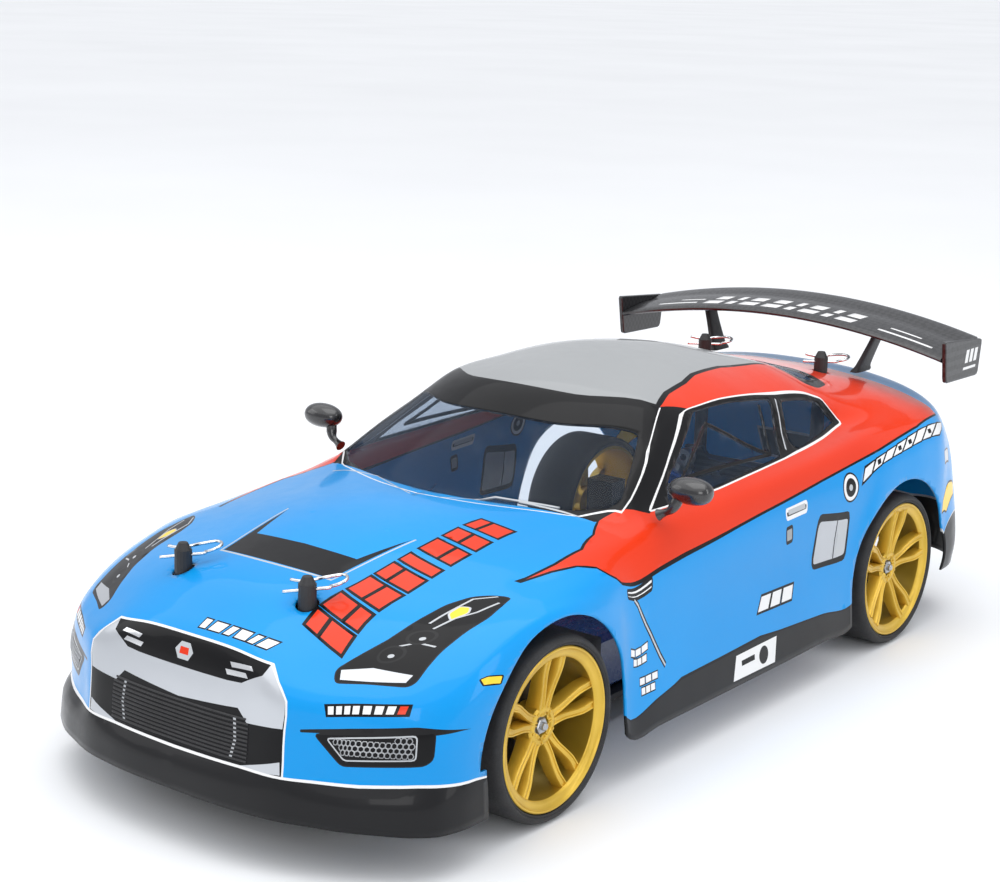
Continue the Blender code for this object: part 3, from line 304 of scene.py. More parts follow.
def clean(mesh, weld, outward=False):
    """Joins points that fall together, drops faces without area, and turns the faces outwards if asked."""
    bm = bmesh.new()
    bm.from_mesh(mesh)
    bmesh.ops.remove_doubles(bm, verts=bm.verts, dist=weld * MM)
    bmesh.ops.dissolve_degenerate(bm, edges=bm.edges, dist=WELD * MM)
    if outward:
        bmesh.ops.recalc_face_normals(bm, faces=bm.faces)
    bm.to_mesh(mesh)
    bm.free()


def thicken(piece, thickness):
    """Gives a sheet its thickness in millimetres, inwards."""
    wall = piece.modifiers.new("wall", "SOLIDIFY")
    wall.thickness, wall.offset = thickness * MM, -1
    graph = bpy.context.evaluated_depsgraph_get()
    mesh = bpy.data.meshes.new_from_object(piece.evaluated_get(graph), depsgraph=graph)
    piece.modifiers.clear()
    piece.data = mesh


class Builder:
    """Collects points and faces of one mesh, in millimetres from the middle of the wheelbase."""

    def __init__(self):
        self.points, self.faces = [], []

    def add(self, points, faces):
        start = len(self.points)
        self.points += [tuple(p) for p in points]
        self.faces += [tuple(start + i for i in face) for face in faces]

    def rings(self, rings, closed=False):
        """Faces between rings of equal length, with flat ends unless the rings join up."""
        count, size = len(rings), len(rings[0])
        faces = []
        for i in range(count if closed else count - 1):
            a, b = i * size, (i + 1) % count * size
            for j in range(size):
                k = (j + 1) % size
                faces.append((a + j, a + k, b + k, b + j))
        if not closed:
            faces += [tuple(range(size - 1, -1, -1)), tuple(range((count - 1) * size, count * size))]
        self.add([p for ring in rings for p in ring], faces)

    def tube(self, path, radius, sides=12):
        """Round section carried along a path without twisting; radius is one number, or one a point."""
        path = [Vector(p) for p in path]
        radii = radius if hasattr(radius, "__len__") else [radius] * len(path)
        rings, across = [], None
        for i, point in enumerate(path):
            before, after = path[max(i - 1, 0)], path[min(i + 1, len(path) - 1)]
            way = (after - before).normalized()
            if across is None:
                across = way.orthogonal().normalized()
            across = (across - way * across.dot(way)).normalized()
            other = way.cross(across)
            rings.append([point + (across * cos + other * sin) * radii[i] for cos, sin in turns(sides)])
        self.rings(rings)

    def box(self, low, high, edge=0.6, steps=2):
        """A block with rounded edges."""
        bm = bmesh.new()
        bmesh.ops.create_cube(bm, size=1.0)
        size = [b - a for a, b in zip(low, high)]
        bmesh.ops.scale(bm, vec=size, verts=bm.verts)
        middle = [(a + b) / 2 for a, b in zip(low, high)]
        bmesh.ops.translate(bm, vec=middle, verts=bm.verts)
        bmesh.ops.bevel(bm, geom=list(bm.edges), offset=edge, segments=steps, affect="EDGES", profile=0.5)
        bm.verts.index_update()
        self.add([v.co for v in bm.verts], [[v.index for v in f.verts] for f in bm.faces])
        bm.free()

    def turned(self, profile, centre, axis, sides=48):
        """A closed profile of (along, radius) pairs turned round an axis through centre."""
        axis = Vector(axis).normalized()
        across = axis.orthogonal().normalized()
        other = axis.cross(across)
        ways = [across * cos + other * sin for cos, sin in turns(sides)]
        self.rings([[Vector(centre) + axis * along + way * radius for along, radius in profile]
                    for way in ways], closed=True)

    def mesh(self, name):
        mesh = mesh_of(name, self.points, self.faces)
        clean(mesh, WELD, outward=True)
        return mesh


def curve_through(points, steps=8):
    """Points along a smooth curve through the given ones."""
    points = [Vector(p) for p in points]
    found = []
    for i, (here, there) in enumerate(zip(points, points[1:])):
        before = points[i - 1] if i else here * 2 - there
        after = points[i + 2] if i + 2 < len(points) else there * 2 - here
        square = 2 * before - 5 * here + 4 * there - after
        cube = 3 * here - before - 3 * there + after
        for k in range(steps):
            t = k / steps
            found.append(0.5 * (2 * here + (there - before) * t + square * t**2 + cube * t**3))
    return found + [points[-1]]


# ---- shell surface ------------------------------------------------------------------------------
# Half sections of the shell from the lip at the nose to the lip at the tail, in millimetres from the
# middle of the wheelbase: ten points each, from the middle of the car outwards.
SECTIONS = (
    # lip, lower edge
    ((0, -229.5, 19.5), (30, -228, 19.2), (47, -224.5, 18.8), (58, -220, 18.4), (68, -215.5, 18),
     (78, -209, 17.5), (86.5, -202, 16.8), (91.5, -195, 16.2), (93.6, -186, 15.7), (93.6, -170, 15.2)),
    # lip, upper edge
    ((0, -228.5, 29.5), (30, -227, 29.5), (46.5, -223.5, 29.3), (57.5, -219, 29), (67.5, -214.3, 28.8),
     (77.5, -207.8, 28.5), (85.8, -200.8, 28), (90.6, -194, 27.7), (92.8, -185.5, 27.4), (92.9, -170, 27.2)),
    # bumper, foot
    ((0, -225.5, 33.6), (30, -224.5, 33.6), (46.8, -222, 33.4), (56.5, -216.6, 33.2), (66, -211.2, 33),
     (76.5, -204.5, 33), (85, -197.5, 32.8), (89.8, -190.5, 32.2), (92, -183, 31.4), (92.3, -170, 30.4)),
    # bumper, middle
    ((0, -223.8, 46), (30, -223, 46.3), (46.6, -220.8, 46.8), (57, -215.5, 46.8), (67, -210, 46.6),
     (77, -203.5, 46.4), (85.3, -196.8, 46.2), (90, -190, 46), (92.2, -182, 45.8), (92.9, -170, 45.4)),
    # bumper, shoulder
    ((0, -221.8, 58.6), (28, -221.2, 59), (46.5, -219.5, 59.4), (57.5, -213.5, 59.8), (67, -207, 59.6),
     (77, -199.8, 59.2), (85, -192, 58.6), (90, -184.5, 58), (92.8, -176, 57), (93.6, -165, 54)),
    # bonnet, leading edge
    ((0, -217.5, 71.3), (20, -217, 70.8), (36.6, -215.4, 68.6), (55, -206.8, 66.3), (65.5, -200.3, 65.6),
     (77, -192.6, 64.9), (85, -185.5, 64.3), (90.3, -178.5, 63.3), (93.2, -170, 61), (94, -159, 56)),
    ((0, -208, 77.2), (19, -207, 76.8), (35, -204.5, 75.4), (54, -197.5, 73), (65.5, -190.3, 72),
     (76.5, -182.5, 71.4), (85, -175, 70.4), (90.5, -168, 69.2), (93.4, -160, 66), (94.2, -150, 57)),
    ((0, -194, 83.8), (18, -193.5, 83.4), (34, -191, 82), (53, -184, 79.6), (65.5, -176.5, 78.2),
     (77, -167.5, 77.2), (86, -159, 75.8), (91, -153, 74), (93.6, -147, 69), (94.2, -142, 58)),
    ((0, -172, 88.6), (18, -171, 88.3), (36, -168, 86.8), (54, -161, 84.6), (66, -154.5, 83.2),
     (78, -147, 81.7), (87, -141, 79.6), (91.6, -138, 77.6), (93.8, -135, 71), (94.3, -132, 58)),
    # over the front axle
    ((0, -138, 95), (19, -137, 94.6), (38, -134, 92.6), (55, -130, 89.8), (67, -126.5, 87.4),
     (79, -121, 84.6), (87.5, -117, 81.2), (91.8, -114, 76.5), (93.8, -112, 68), (94.2, -110, 55)),
    ((0, -108, 97.6), (20, -107, 97.2), (40, -104, 95.4), (56, -100, 92.6), (67.5, -97.5, 90.4),
     (79.5, -95, 87.2), (87, -93, 81), (90.5, -92, 70), (92.6, -93, 52), (93.3, -95, 36)),
    # foot of the windscreen
    ((0, -90, 97.6), (24, -87.5, 97.2), (55, -77, 95.6), (66, -72.2, 93.7), (73, -72, 91.8),
     (80.5, -74, 88.2), (86.6, -76, 78), (89.4, -78, 55), (91.4, -83, 29.2), (93, -83, 17)),
    ((0, -73, 108.6), (26, -70.5, 108), (58, -58, 104.8), (64.5, -54, 103.4), (74.2, -57, 94.6),
     (81.6, -58, 89.8), (87, -60, 79), (89.4, -62, 54), (91.5, -64, 29.8), (93, -64, 17.2)),
    ((0, -57.5, 118.2), (27, -54, 117.2), (55.9, -35, 115.9), (61, -31, 113.8), (75.6, -40, 95.6),
     (82.6, -41, 90.4), (87.4, -42, 79.5), (89.3, -42, 54), (91.6, -42, 30.4), (93.1, -42, 17.3)),
    # header of the windscreen
    ((0, -37, 131), (26, -33, 129.8), (52.6, -13, 125.4), (57.8, -9, 121.6), (75.8, -16, 96.3),
     (83, -16, 91.2), (87.6, -16, 80.5), (89.2, -16, 54), (91.7, -16, 31), (93.2, -16, 17.4)),
    ((0, -10, 137.3), (25, -6, 135), (49.5, 12, 128), (57.4, 14, 122.8), (75.8, 10, 97),
     (83.4, 10, 92), (87.6, 10, 82), (89.1, 10, 54), (91.8, 10, 31.8), (93.3, 10, 17.5)),
    # crown of the roof
    ((0, 22, 139.6), (24, 24, 137), (47.5, 36, 128.8), (57.5, 38, 122.4), (75.5, 36, 97.4),
     (83.6, 36, 93), (87.6, 36, 83.5), (89.1, 36, 54), (91.8, 36, 32.4), (93.3, 36, 17.6)),
    ((0, 52, 137), (23, 53, 134.9), (45, 60, 128), (57.6, 62, 120.8), (75, 61, 98),
     (83.6, 61, 94.2), (87.8, 61, 85.5), (89.4, 61, 54), (91.9, 61, 33), (93.3, 61, 18)),
    ((0, 82, 131.8), (21, 83, 130.2), (42, 88, 126.6), (58, 88, 118.3), (72.5, 88, 99.2),
     (83.4, 86, 96), (88.2, 86, 88), (90.6, 86, 58), (92.2, 86, 33.4), (93.4, 86, 18.4)),
    # foot of the rear window
    ((0, 108, 124.9), (20, 109, 123.9), (41, 111, 121.2), (59, 108, 113.6), (69, 112, 101.4),
     (82.6, 112, 98.2), (89, 110, 90.5), (92.6, 106, 76), (94, 104, 60), (94.4, 102, 42)),
    # over the rear axle
    ((0, 132, 118.8), (20, 133, 118.2), (42, 134, 115.6), (60, 134, 108.6), (70, 134, 103.4),
     (81.5, 134, 99.6), (89, 132, 92.6), (92.8, 130, 79), (94.2, 130, 66), (94.4, 130, 48)),
    ((0, 157, 114.2), (20, 157, 113.8), (40, 157, 111.8), (58, 157, 107.8), (70, 157, 104.6),
     (81, 156, 100.6), (88.6, 154, 94), (92.6, 152, 80), (94, 152, 66), (94.2, 152, 50)),
    ((0, 180, 110.6), (20, 180, 110.2), (40, 179.5, 108.4), (58, 179, 105.6), (70, 178, 102.8),
     (80.5, 177, 98.8), (87, 175, 92), (91.2, 172, 78), (93, 168, 60), (93.4, 164, 44)),
    # trailing edge of the boot
    ((0, 203, 107.2), (20, 203, 106.8), (40, 202, 105), (56, 200, 102.2), (68, 196, 99.2),
     (77, 191, 95.2), (84, 186, 88), (88.6, 181, 76), (91.4, 176, 60), (92.6, 172, 44)),
    ((0, 212, 97), (20, 212, 96.6), (40, 211, 95), (55, 208.7, 92.6), (66, 205.4, 89.6),
     (75.5, 200.6, 85.6), (82.5, 194.8, 79.5), (87.6, 188.4, 68), (90.8, 181, 55), (92.4, 174, 42)),
    ((0, 217, 76), (20, 216.8, 76), (40, 215.8, 75.4), (55, 213.8, 73.8), (66, 210.8, 71.6),
     (75.8, 206, 68), (83, 199.8, 62.8), (88, 192.4, 55), (91, 184, 47), (92.6, 175, 40)),
    ((0, 218.5, 55), (20, 218.4, 55), (40, 217.6, 54.8), (55, 216, 54.2), (66.5, 213.4, 53),
     (76.6, 208.9, 50.6), (84, 202.3, 47.2), (88.8, 194.5, 43), (91.6, 185.6, 39), (92.9, 176, 36)),
    ((0, 218.5, 38), (20, 218.3, 38), (40, 217.5, 38), (55, 216, 38), (66.5, 213.6, 38),
     (77, 209.2, 37), (84.6, 202.8, 35.4), (89.2, 195, 33.6), (92, 186, 31.8), (93.1, 176, 30.4)),
    # rear bumper, lower edge
    ((0, 216, 23), (20, 215.9, 23), (40, 215.1, 23), (55, 213.6, 23.2), (66.5, 211.2, 23.4),
     (77, 206.8, 23.6), (84.6, 200.4, 23.8), (89, 192.5, 24), (91.6, 184, 24.1), (92.8, 174, 24.2)),
)
ROWS = np.array(SECTIONS, float)
WINDSCREEN_FOOT = 11  # row with a crease in it, at its five inner points
FOOT_CREASE = (1.0, 1.0, 1.0, 0.9, 0.5)
LIP_ROWS = {1: 0.7, 2: 0.7}


TINY = 1e-9  # keeps lengths off nought


def directions(points, sharp=None):
    """Leaving and arriving direction at each point of the lines that run along the first axis."""
    chord = np.linalg.norm(np.diff(points, axis=0), axis=-1, keepdims=True) + TINY
    step = np.diff(points, axis=0) / chord
    middle = (step[:-1] * chord[1:] + step[1:] * chord[:-1]) / (chord[1:] + chord[:-1])
    leave = np.concatenate([step[:1], middle, step[-1:]])
    arrive = leave.copy()
    if sharp is not None:
        weight = sharp[1:-1, :, None]
        leave[1:-1] = (1 - weight) * middle + weight * step[1:]
        arrive[1:-1] = (1 - weight) * middle + weight * step[:-1]
    return leave, arrive, chord


def crease_weights():
    sharp = np.zeros(ROWS.shape[:2])
    sharp[WINDSCREEN_FOOT, : len(FOOT_CREASE)] = FOOT_CREASE
    for row, weight in LIP_ROWS.items():
        sharp[row, :] = weight
    return sharp


LEAVE, ARRIVE, SPAN = directions(ROWS, crease_weights())


def bend(start, end, leave, arrive, length, t):
    """Smooth stretch between two points with given end directions."""
    t2, t3 = t * t, t * t * t
    first = (2 * t3 - 3 * t2 + 1) * start + (t3 - 2 * t2 + t) * leave * length
    return first + (3 * t2 - 2 * t3) * end + (t3 - t2) * arrive * length


def shell_points(u, v):
    """Places on the half shell: u counts rows from the nose, v counts points from the middle."""
    u, v = np.asarray(u, float), np.asarray(v, float)
    i = np.clip(np.floor(u).astype(int), 0, len(ROWS) - 2)
    t = (u - i)[:, None, None]
    line = bend(ROWS[i], ROWS[i + 1], LEAVE[i], ARRIVE[i + 1], SPAN[i], t)
    mirrored = line[:, 1:2] * np.array([-1.0, 1.0, 1.0])
    line = np.concatenate([mirrored, line], axis=1).transpose(1, 0, 2)
    leave, arrive, length = directions(line)
    j = np.clip(np.floor(v).astype(int), 0, ROWS.shape[1] - 2)
    at, n = (v - j)[:, None], np.arange(len(u))
    k = j + 1
    return bend(line[k, n], line[k + 1, n], leave[k, n], arrive[k + 1, n], length[k, n], at)


def marks(axis):
    """Mean distance of the rows, or of their points, from the first one, in millimetres."""
    steps = np.linalg.norm(np.diff(ROWS, axis=axis), axis=-1).mean(axis=1 - axis)
    return np.concatenate([[0], np.cumsum(steps)])


# The shell is painted on a flat sheet: along it, and across it from the middle, both about in millimetres.
ROW_MARKS, POINT_MARKS = marks(0), marks(1)
LONG, WIDE = ROW_MARKS[-1], POINT_MARKS[-1]


def sheet_to_shell(flat):
    flat = np.asarray(flat, float)
    u = np.interp(flat[:, 0], ROW_MARKS, np.arange(len(ROW_MARKS)))
    v = np.interp(flat[:, 1], POINT_MARKS, np.arange(len(POINT_MARKS)))
    return shell_points(u, v)


NET_STEPS = 6  # meshes of the net from one row to the next


def finder():
    """A net over the half shell, to look up the flat place of a point near it."""
    us, vs = (np.arange(0, (count - 1) * NET_STEPS + 1) / NET_STEPS for count in ROWS.shape[:2])
    grid_u, grid_v = (g.ravel() for g in np.meshgrid(us, vs, indexing="ij"))
    places = shell_points(grid_u, grid_v)
    flat = np.stack([np.interp(grid_u, np.arange(len(ROW_MARKS)), ROW_MARKS),
                     np.interp(grid_v, np.arange(len(POINT_MARKS)), POINT_MARKS)], axis=1)
    width, faces = len(vs), []
    for a in range(len(us) - 1):
        for b in range(width - 1):
            c = a * width + b
            faces += [(c, c + 1, c + width), (c + 1, c + width + 1, c + width)]
    tree = BVHTree.FromPolygons([Vector(p) for p in places], faces)
    return tree, places, flat, faces


NET, NET_PLACES, NET_FLAT, NET_FACES = finder()


def to_sheet(point):
    """Flat place of the spot on the half shell nearest to a point in millimetres; a side of -x is kept."""
    x, y, z = point
    found, _, face, _ = NET.find_nearest(Vector((abs(x), y, z)))
    corners = NET_FACES[face]
    a, b, c = (NET_PLACES[i] for i in corners)
    basis = np.stack([b - a, c - a], axis=1)
    share = np.linalg.lstsq(basis, np.array(found) - a, rcond=None)[0]
    flat_a, flat_b, flat_c = (NET_FLAT[i] for i in corners)
    spot = flat_a + (flat_b - flat_a) * share[0] + (flat_c - flat_a) * share[1]
    return (float(spot[0]), float(spot[1]) * (-1 if x < 0 else 1))


def traced(points):
    return [to_sheet(p) for p in points]


def offset(line, distance, closed):
    """Moves a flat line sideways, its corners mitred."""
    line = [Vector(p) for p in line]
    moved, count = [], len(line)
    for i, point in enumerate(line):
        ways = []
        if closed or i:
            ways.append((point - line[i - 1]).normalized())
        if closed or i + 1 < count:
            ways.append((line[(i + 1) % count] - point).normalized())
        normals = [Vector((-w.y, w.x)) for w in ways if w.length > 0.5]
        if not normals:
            moved.append(tuple(point))
            continue
        mean = sum(normals, Vector((0, 0)))
        if mean.length < 0.2:
            mean = normals[0]
        mean.normalize()
        reach = distance / max(0.45, mean.dot(normals[0]))
        moved.append(tuple(point + mean * reach))
    return moved


def turning(line):
    return sum(a[0] * b[1] - b[0] * a[1] for a, b in zip(line, line[1:] + line[:1]))


def grown(line, distance):
    """Closed outline made larger, or smaller with a distance below nought."""
    return offset(line, -distance if turning(line) > 0 else distance, True)


def ribbon(line, width):
    return offset(line, width / 2, False) + offset(line, -width / 2, False)[::-1]


def rounded(line, radius=1.5, steps=3):
    """Closed outline with its corners cut round."""
    found, count = [], len(line)
    for i in range(count):
        before, here, after = Vector(line[i - 1]), Vector(line[i]), Vector(line[(i + 1) % count])
        back, on = before - here, after - here
        cut = min(radius, back.length * 0.45, on.length * 0.45)
        start, end = here + back.normalized() * cut, here + on.normalized() * cut
        for k in range(steps + 1):
            t = k / steps
            found.append(tuple(start * (1 - t) ** 2 + here * 2 * t * (1 - t) + end * t * t))
    return found


def inside(flat, outline):
    """Which flat places lie inside an outline, by the even-odd rule."""
    x, y = flat[:, 0], flat[:, 1]
    found = np.zeros(len(flat), bool)
    for (ax, ay), (bx, by) in zip(outline, outline[1:] + outline[:1]):
        if ay == by:
            continue
        crosses = (ay > y) != (by > y)
        found ^= crosses & (x < (bx - ax) * (y - ay) / (by - ay) + ax)
    return found


# ---- paint on the shell -------------------------------------------------------------------------
BLUE, RED, GREY, BLACK, WHITE, SILVER, CHARCOAL, YELLOW, CHROME, DEEP_RED, PALE, CLEAR, OPEN = range(13)
BELOW = WIDE + 12  # beyond the lower edge of the sheet
OVER = -5  # beyond the middle line, where the other half begins

# Outlines on the left half, in millimetres from the middle of the wheelbase.
RED_UPPER = ((73.6, -130.9, 85.1), (74.8, -110.2, 87.3), (74.6, -93.7, 89.2), (70.8, -81, 91.3),
             (66, -71.6, 94))
RED_LOWER = ((73.6, -130.9, 85.1), (76.4, -115.7, 86.2), (79.5, -104, 86.3), (83.1, -96.3, 84.8),
             (86.3, -92.3, 81.8), (87.8, -86.3, 77.7), (87.4, -42.9, 79.6), (87.1, 13.7, 83.8), (87, 62.4, 88),
             (87.6, 111.1, 92.7), (86, 150, 96.2), (84, 178, 99))
ROOF = ((0, -37, 131), (26, -33, 129.8), (52, -12, 125.8), (47.9, 0, 128.8), (45.2, 17.2, 130.3),
        (42.2, 28.3, 131.6), (39.4, 53.6, 130.8), (39.8, 75, 128.8), (39.4, 92.8, 126.4), (0, 95, 129))
SCREEN_FRAME = ((0, -90, 97.6), (24, -87.5, 97.2), (55, -77, 95.6), (65.9, -72.3, 93.6), (75.2, -51.3, 94.8),
                (56.7, 1.7, 123.2), (52.6, -13, 125.4), (26, -33, 129.8), (0, -37, 131))
SCREEN_PINSTRIPE = ((52.8, -11.7, 125.4), (61.7, -33.1, 112.6), (69.4, -54.9, 99.4), (70.4, -62.4, 96),
                    (59.4, -75.1, 94.9), (40.3, -86.7, 96.6), (20, -94.5, 97.3), (0, -98.2, 97.6))
SCREEN_GLASS = ((0, -51.6, 122.1), (31.5, -45.7, 121.1), (54.9, -30, 118.5), (63.2, -47.1, 107),
                (67.6, -59.4, 99),
                (66.3, -65.1, 97.1), (58, -72.8, 96), (40, -83.2, 97.6), (20, -90, 98.6), (0, -93, 99))
WIPERS = (((-54.8, -85.9, 94.5), (-30.2, -86.7, 97), (-1.5, -100.4, 97.7)),
          ((8.9, -97.3, 97.5), (27.4, -84.6, 98.5), (51.5, -76.5, 97.1)),
          ((37, -82.3, 97.9), (60.2, -74.9, 94.8)))
SIDE_PINSTRIPE = ((75.2, -51.3, 94.8), (66, -24, 110), (56.7, 1.7, 123.2), (56.3, 26.8, 123.6),
                  (58.2, 69.5, 119.7),
                  (59.2, 94.9, 115.9), (60.7, 106.3, 112.2), (68.9, 111.9, 101.5), (75.1, 60.3, 97.9),
                  (77.6, -5, 95.4))
DOOR_GLASS = ((58, 4.5, 122.1), (58.3, 32.6, 121.8), (59.8, 62.7, 118.5), (66.5, 56.5, 108.7),
              (74.4, 49.7, 98.5),
              (74.9, 33, 98), (76.2, -2.8, 96.4), (75.8, -38.2, 95.6), (69.9, -30.3, 103.1))
QUARTER_GLASS = ((61.1, 69.6, 116.7), (61.4, 92.5, 113.8), (62, 100.3, 111.4), (67.3, 107, 102.6),
                 (74, 64.7, 98.8), (70.8, 61.6, 101.8))
CAGE = ((61.5, 8, 117), (71.5, -22, 101.5), (72.5, 44, 100), (60.5, 52, 117.5))
PILLAR = ((59.9, 66.5, 117.6), (72.6, 56, 99.6))
REAR_FRAME = ((0, 96, 127.6), (38, 97, 125.2), (52, 103, 117), (54, 112, 112), (50, 128, 111), (30, 134, 116.6),
              (0, 136, 117.9))
HEADLIGHT = ((78.3, -140.3, 82.7), (73.6, -144.2, 83.3), (69.2, -150, 83.3), (65.8, -160.3, 82.1),
             (64.3, -173.9, 79.4), (62.2, -186.4, 75.4), (58.3, -196.8, 71.5), (55.1, -204.4, 68),
             (57.3, -207.3, 64.9), (66.8, -200.4, 64.9), (76.7, -193.6, 64.4), (78.1, -190.8, 65.5),
             (78.1, -178, 72.8), (78.8, -166.7, 76.7), (80, -155.5, 79.4))
HEADLIGHT_BAND = ((56.5, -203.3, 68.1), (64.5, -196.4, 68.8), (76.1, -189.9, 67.3), (75.6, -193, 65.4),
                  (66.4, -199.9, 65.4), (58, -205.6, 65.7))
LAMP_MARKER = ((69.4, -163.7, 80.6), (69.6, -157.7, 81.8), (72.5, -155.4, 81.6), (74, -158.4, 80.6),
               (72, -165.8, 79.4))
LAMP_LINES = (((70.5, -173, 78), (72.5, -164, 79.6), (75.6, -156, 80.4), (77.4, -146, 81.6)),
              ((66.5, -186, 74.5), (70.5, -181, 75.5), (75.8, -178, 74.2)),
              ((68, -172, 79), (70, -151, 82.6), (75, -143.5, 82.8)))
LAMP_RINGS = (((70.2, -178.5, 77), 4.0), ((66.2, -190.0, 72.8), 4.2))
SIDE_MARKER = ((91.2, -173.6, 65), (91.9, -170.2, 65.4), (93.4, -163.6, 64.3), (93.6, -165.2, 61.7),
               (92.2, -172.8, 62.9))
NOSE_SIDE = ((36.7, -215.7, 68.4), (46.6, -219.5, 59.2), (46.7, -220.9, 44), (46.8, -221.5, 33.6))
SILVER_FOOT = ((0, -223.1, 50.7), (27.6, -222.3, 53), (31.9, -222.6, 48.8), (46.4, -220.7, 49.8))
SMILE = ((36.6, -215.7, 68.4), (35.8, -218.9, 65.3), (30.4, -220.2, 62.8), (27.7, -220.7, 61.3),
         (21.3, -221.1, 60.9), (0, -221.6, 60.8))
GRILLE_DASHES = (((22, -219.6, 66.2), (31, -218.6, 66.4)), ((20.5, -220.4, 63.6), (29.5, -219.6, 63.9)))
GRILLE_SIDE = ((26.5, -222.6, 50), (27.5, -224, 42), (26, -224, 35.7))
CHIN_LEDGE = ((24, -225.4, 33), (46, -221.5, 38.4), (46.4, -222, 34))
LIP_LINE = ((0, -226, 33.5), (30, -224.4, 33.5), (52.8, -219, 33), (69.9, -209.2, 32.5), (85, -197.4, 33),
            (92.4, -175.8, 30.7), (93, -168, 30))
SKIRT_LINE = ((91.8, -88, 28.8), (91.5, -48.3, 31.2), (91.6, 9.9, 33), (93, 91, 33))
TAIL_LINE = ((92.4, 170, 42), (92.4, 175, 42), (84, 202.5, 45), (55, 216, 46), (0, 218.5, 46))
FOG_LAMP = ((55.9, -216, 49.3), (88.1, -191.8, 51), (88.3, -193, 42.2), (86.3, -195.4, 40.1), (64, -211.3, 39))
FOG_MESH = ((59.8, -213.9, 48.1), (84.2, -196.9, 50.2), (84.4, -197.7, 42.1), (64.9, -211, 41))
SHELF = ((52, -218.2, 50.5), (83.8, -196.5, 53), (92.6, -179.1, 49.8), (91.5, -184.6, 50), (52, -218.2, 49.5))
BUMPER_ROW = ((59.6, -213.7, 55.8), (81, -197.7, 56.7), (80.7, -195.9, 59.7), (58.5, -213.2, 59.1))
ROW_BLOCKS = 8
VENT_OUTER = ((0, -137, 93.3), (30.5, -137, 93.3), (26, -175.5, 86.8), (0, -176.5, 87))
VENT_INNER = ((0, -160, 90), (24.5, -160, 90), (30.5, -137, 93.3), (0, -137, 93.3))
VENT_LINE = ((31.5, -136, 93.4), (27, -176, 86.6), (0, -177.5, 86.4))
BONNET_FIELD = ((52.9, -198, 73.1), (53.2, -93.8, 93.9), (38.2, -101.1, 95.9), (36.5, -200.3, 77.2))
# start, width and place of the split of each pair of blocks, in shares of the field; 1 is a whole block
BONNET_BLOCKS = ((0.0, 0.085, 0.62), (0.115, 0.085, 0.38), (0.235, 0.10, 0.5), (0.365, 0.085, 0.62),
                 (0.485, 0.05, 1), (0.585, 0.095, 0.38), (0.72, 0.085, 0.5), (0.85, 0.085, 0.62))
BONNET_GAP, BONNET_SLANT = 0.1, 0.045
NOSE_FIELD = ((34, -207.5, 73), (0, -209.5, 74), (0, -213.5, 71), (32, -212.4, 71))
NOSE_FIELD_START = 0.5  # mm from the middle line
NOSE_BLOCKS = ((0.02, 0.17, 0.02), (0.22, 0.3, 0.02), (0.35, 0.5, -0.02), (0.55, 0.63, 0.02),
               (0.68, 0.83, 0.02), (0.88, 0.96, 0.0))  # start, end and slant
FENDER_PLATE = ((88.4, -83.6, 74.1), (87.8, -66.4, 75.1), (88.5, -67.1, 70.8), (88.9, -83.5, 71.3))
FENDER_BLADE = ((88.7, -78.9, 69.4), (88.8, -76.6, 66.9), (89.4, -68.1, 53.5), (90.6, -58.9, 39.2))
FENDER_ROWS = ((-82, 50, 12), (-80, 45.5, 9), (-76, 37, 12), (-75, 33, 9))  # place along and up, length
FENDER_ROW_HALF = 1.3
GRIP = ((88.4, 33, 79.8), (88.5, 46.5, 80.2))
HANDLE = ((88.1, 31.3, 80.8), (88.3, 48.1, 81.6), (89, 47.4, 78), (88.7, 31.5, 77.4))
TAB = ((89.1, 31.1, 73.3), (89.1, 35.9, 73.7), (89.1, 36.6, 67.4), (89, 31.9, 67))
QUARTER_VENT = ((89.5, 57.5, 72.7), (90.5, 83.2, 69.4), (90.6, 80.8, 51.2), (89.5, 53.9, 51.8))
RING_CENTRE = (83.5, 81)
QUARTER_ROW = ((90.6, 93.3, 80.9), (89.5, 170, 88.9), (83.6, 181.6, 93.1), (89.2, 95.1, 87))
DOOR_MARK = ((90.4, 9.3, 42.9), (90.5, 37.8, 42.4), (89.7, 38.5, 48.6), (89.6, 11.8, 49.2))
REFLECTOR = ((92.6, 170.6, 52.2), (92.4, 171.4, 58.4), (87.4, 191.4, 62.1), (88, 190, 57), (91.6, 177.4, 51.4))
TAIL_DASH = ((90.5, 172.8, 81.6), (87, 183.8, 79.8), (88.4, 182.6, 73.9), (91.3, 172.8, 75.4))
SKIRT_PLATE = ((91.9, -8.6, 29.8), (92, 22.7, 30.3), (93.1, 20.7, 19.8), (93, -11.4, 19.9))
TAIL_LAMP = ((84, 200.5, 82), (66, 211, 84), (62, 213.5, 72), (80, 205, 68), (88, 196, 70))
PLATE_RECESS = ((0, 219, 66), (34, 218, 66), (30, 218.5, 52), (0, 219, 51))
POSTS = {"front": (30.2, -191.5), "rear": (32.0, 157.5)}
POST_HOLE = 4.2
ARCH_RADIUS = 43.6
ARCH_STEPS = 40
ARCH_DROP = 2.0  # the arch's middle below the axle


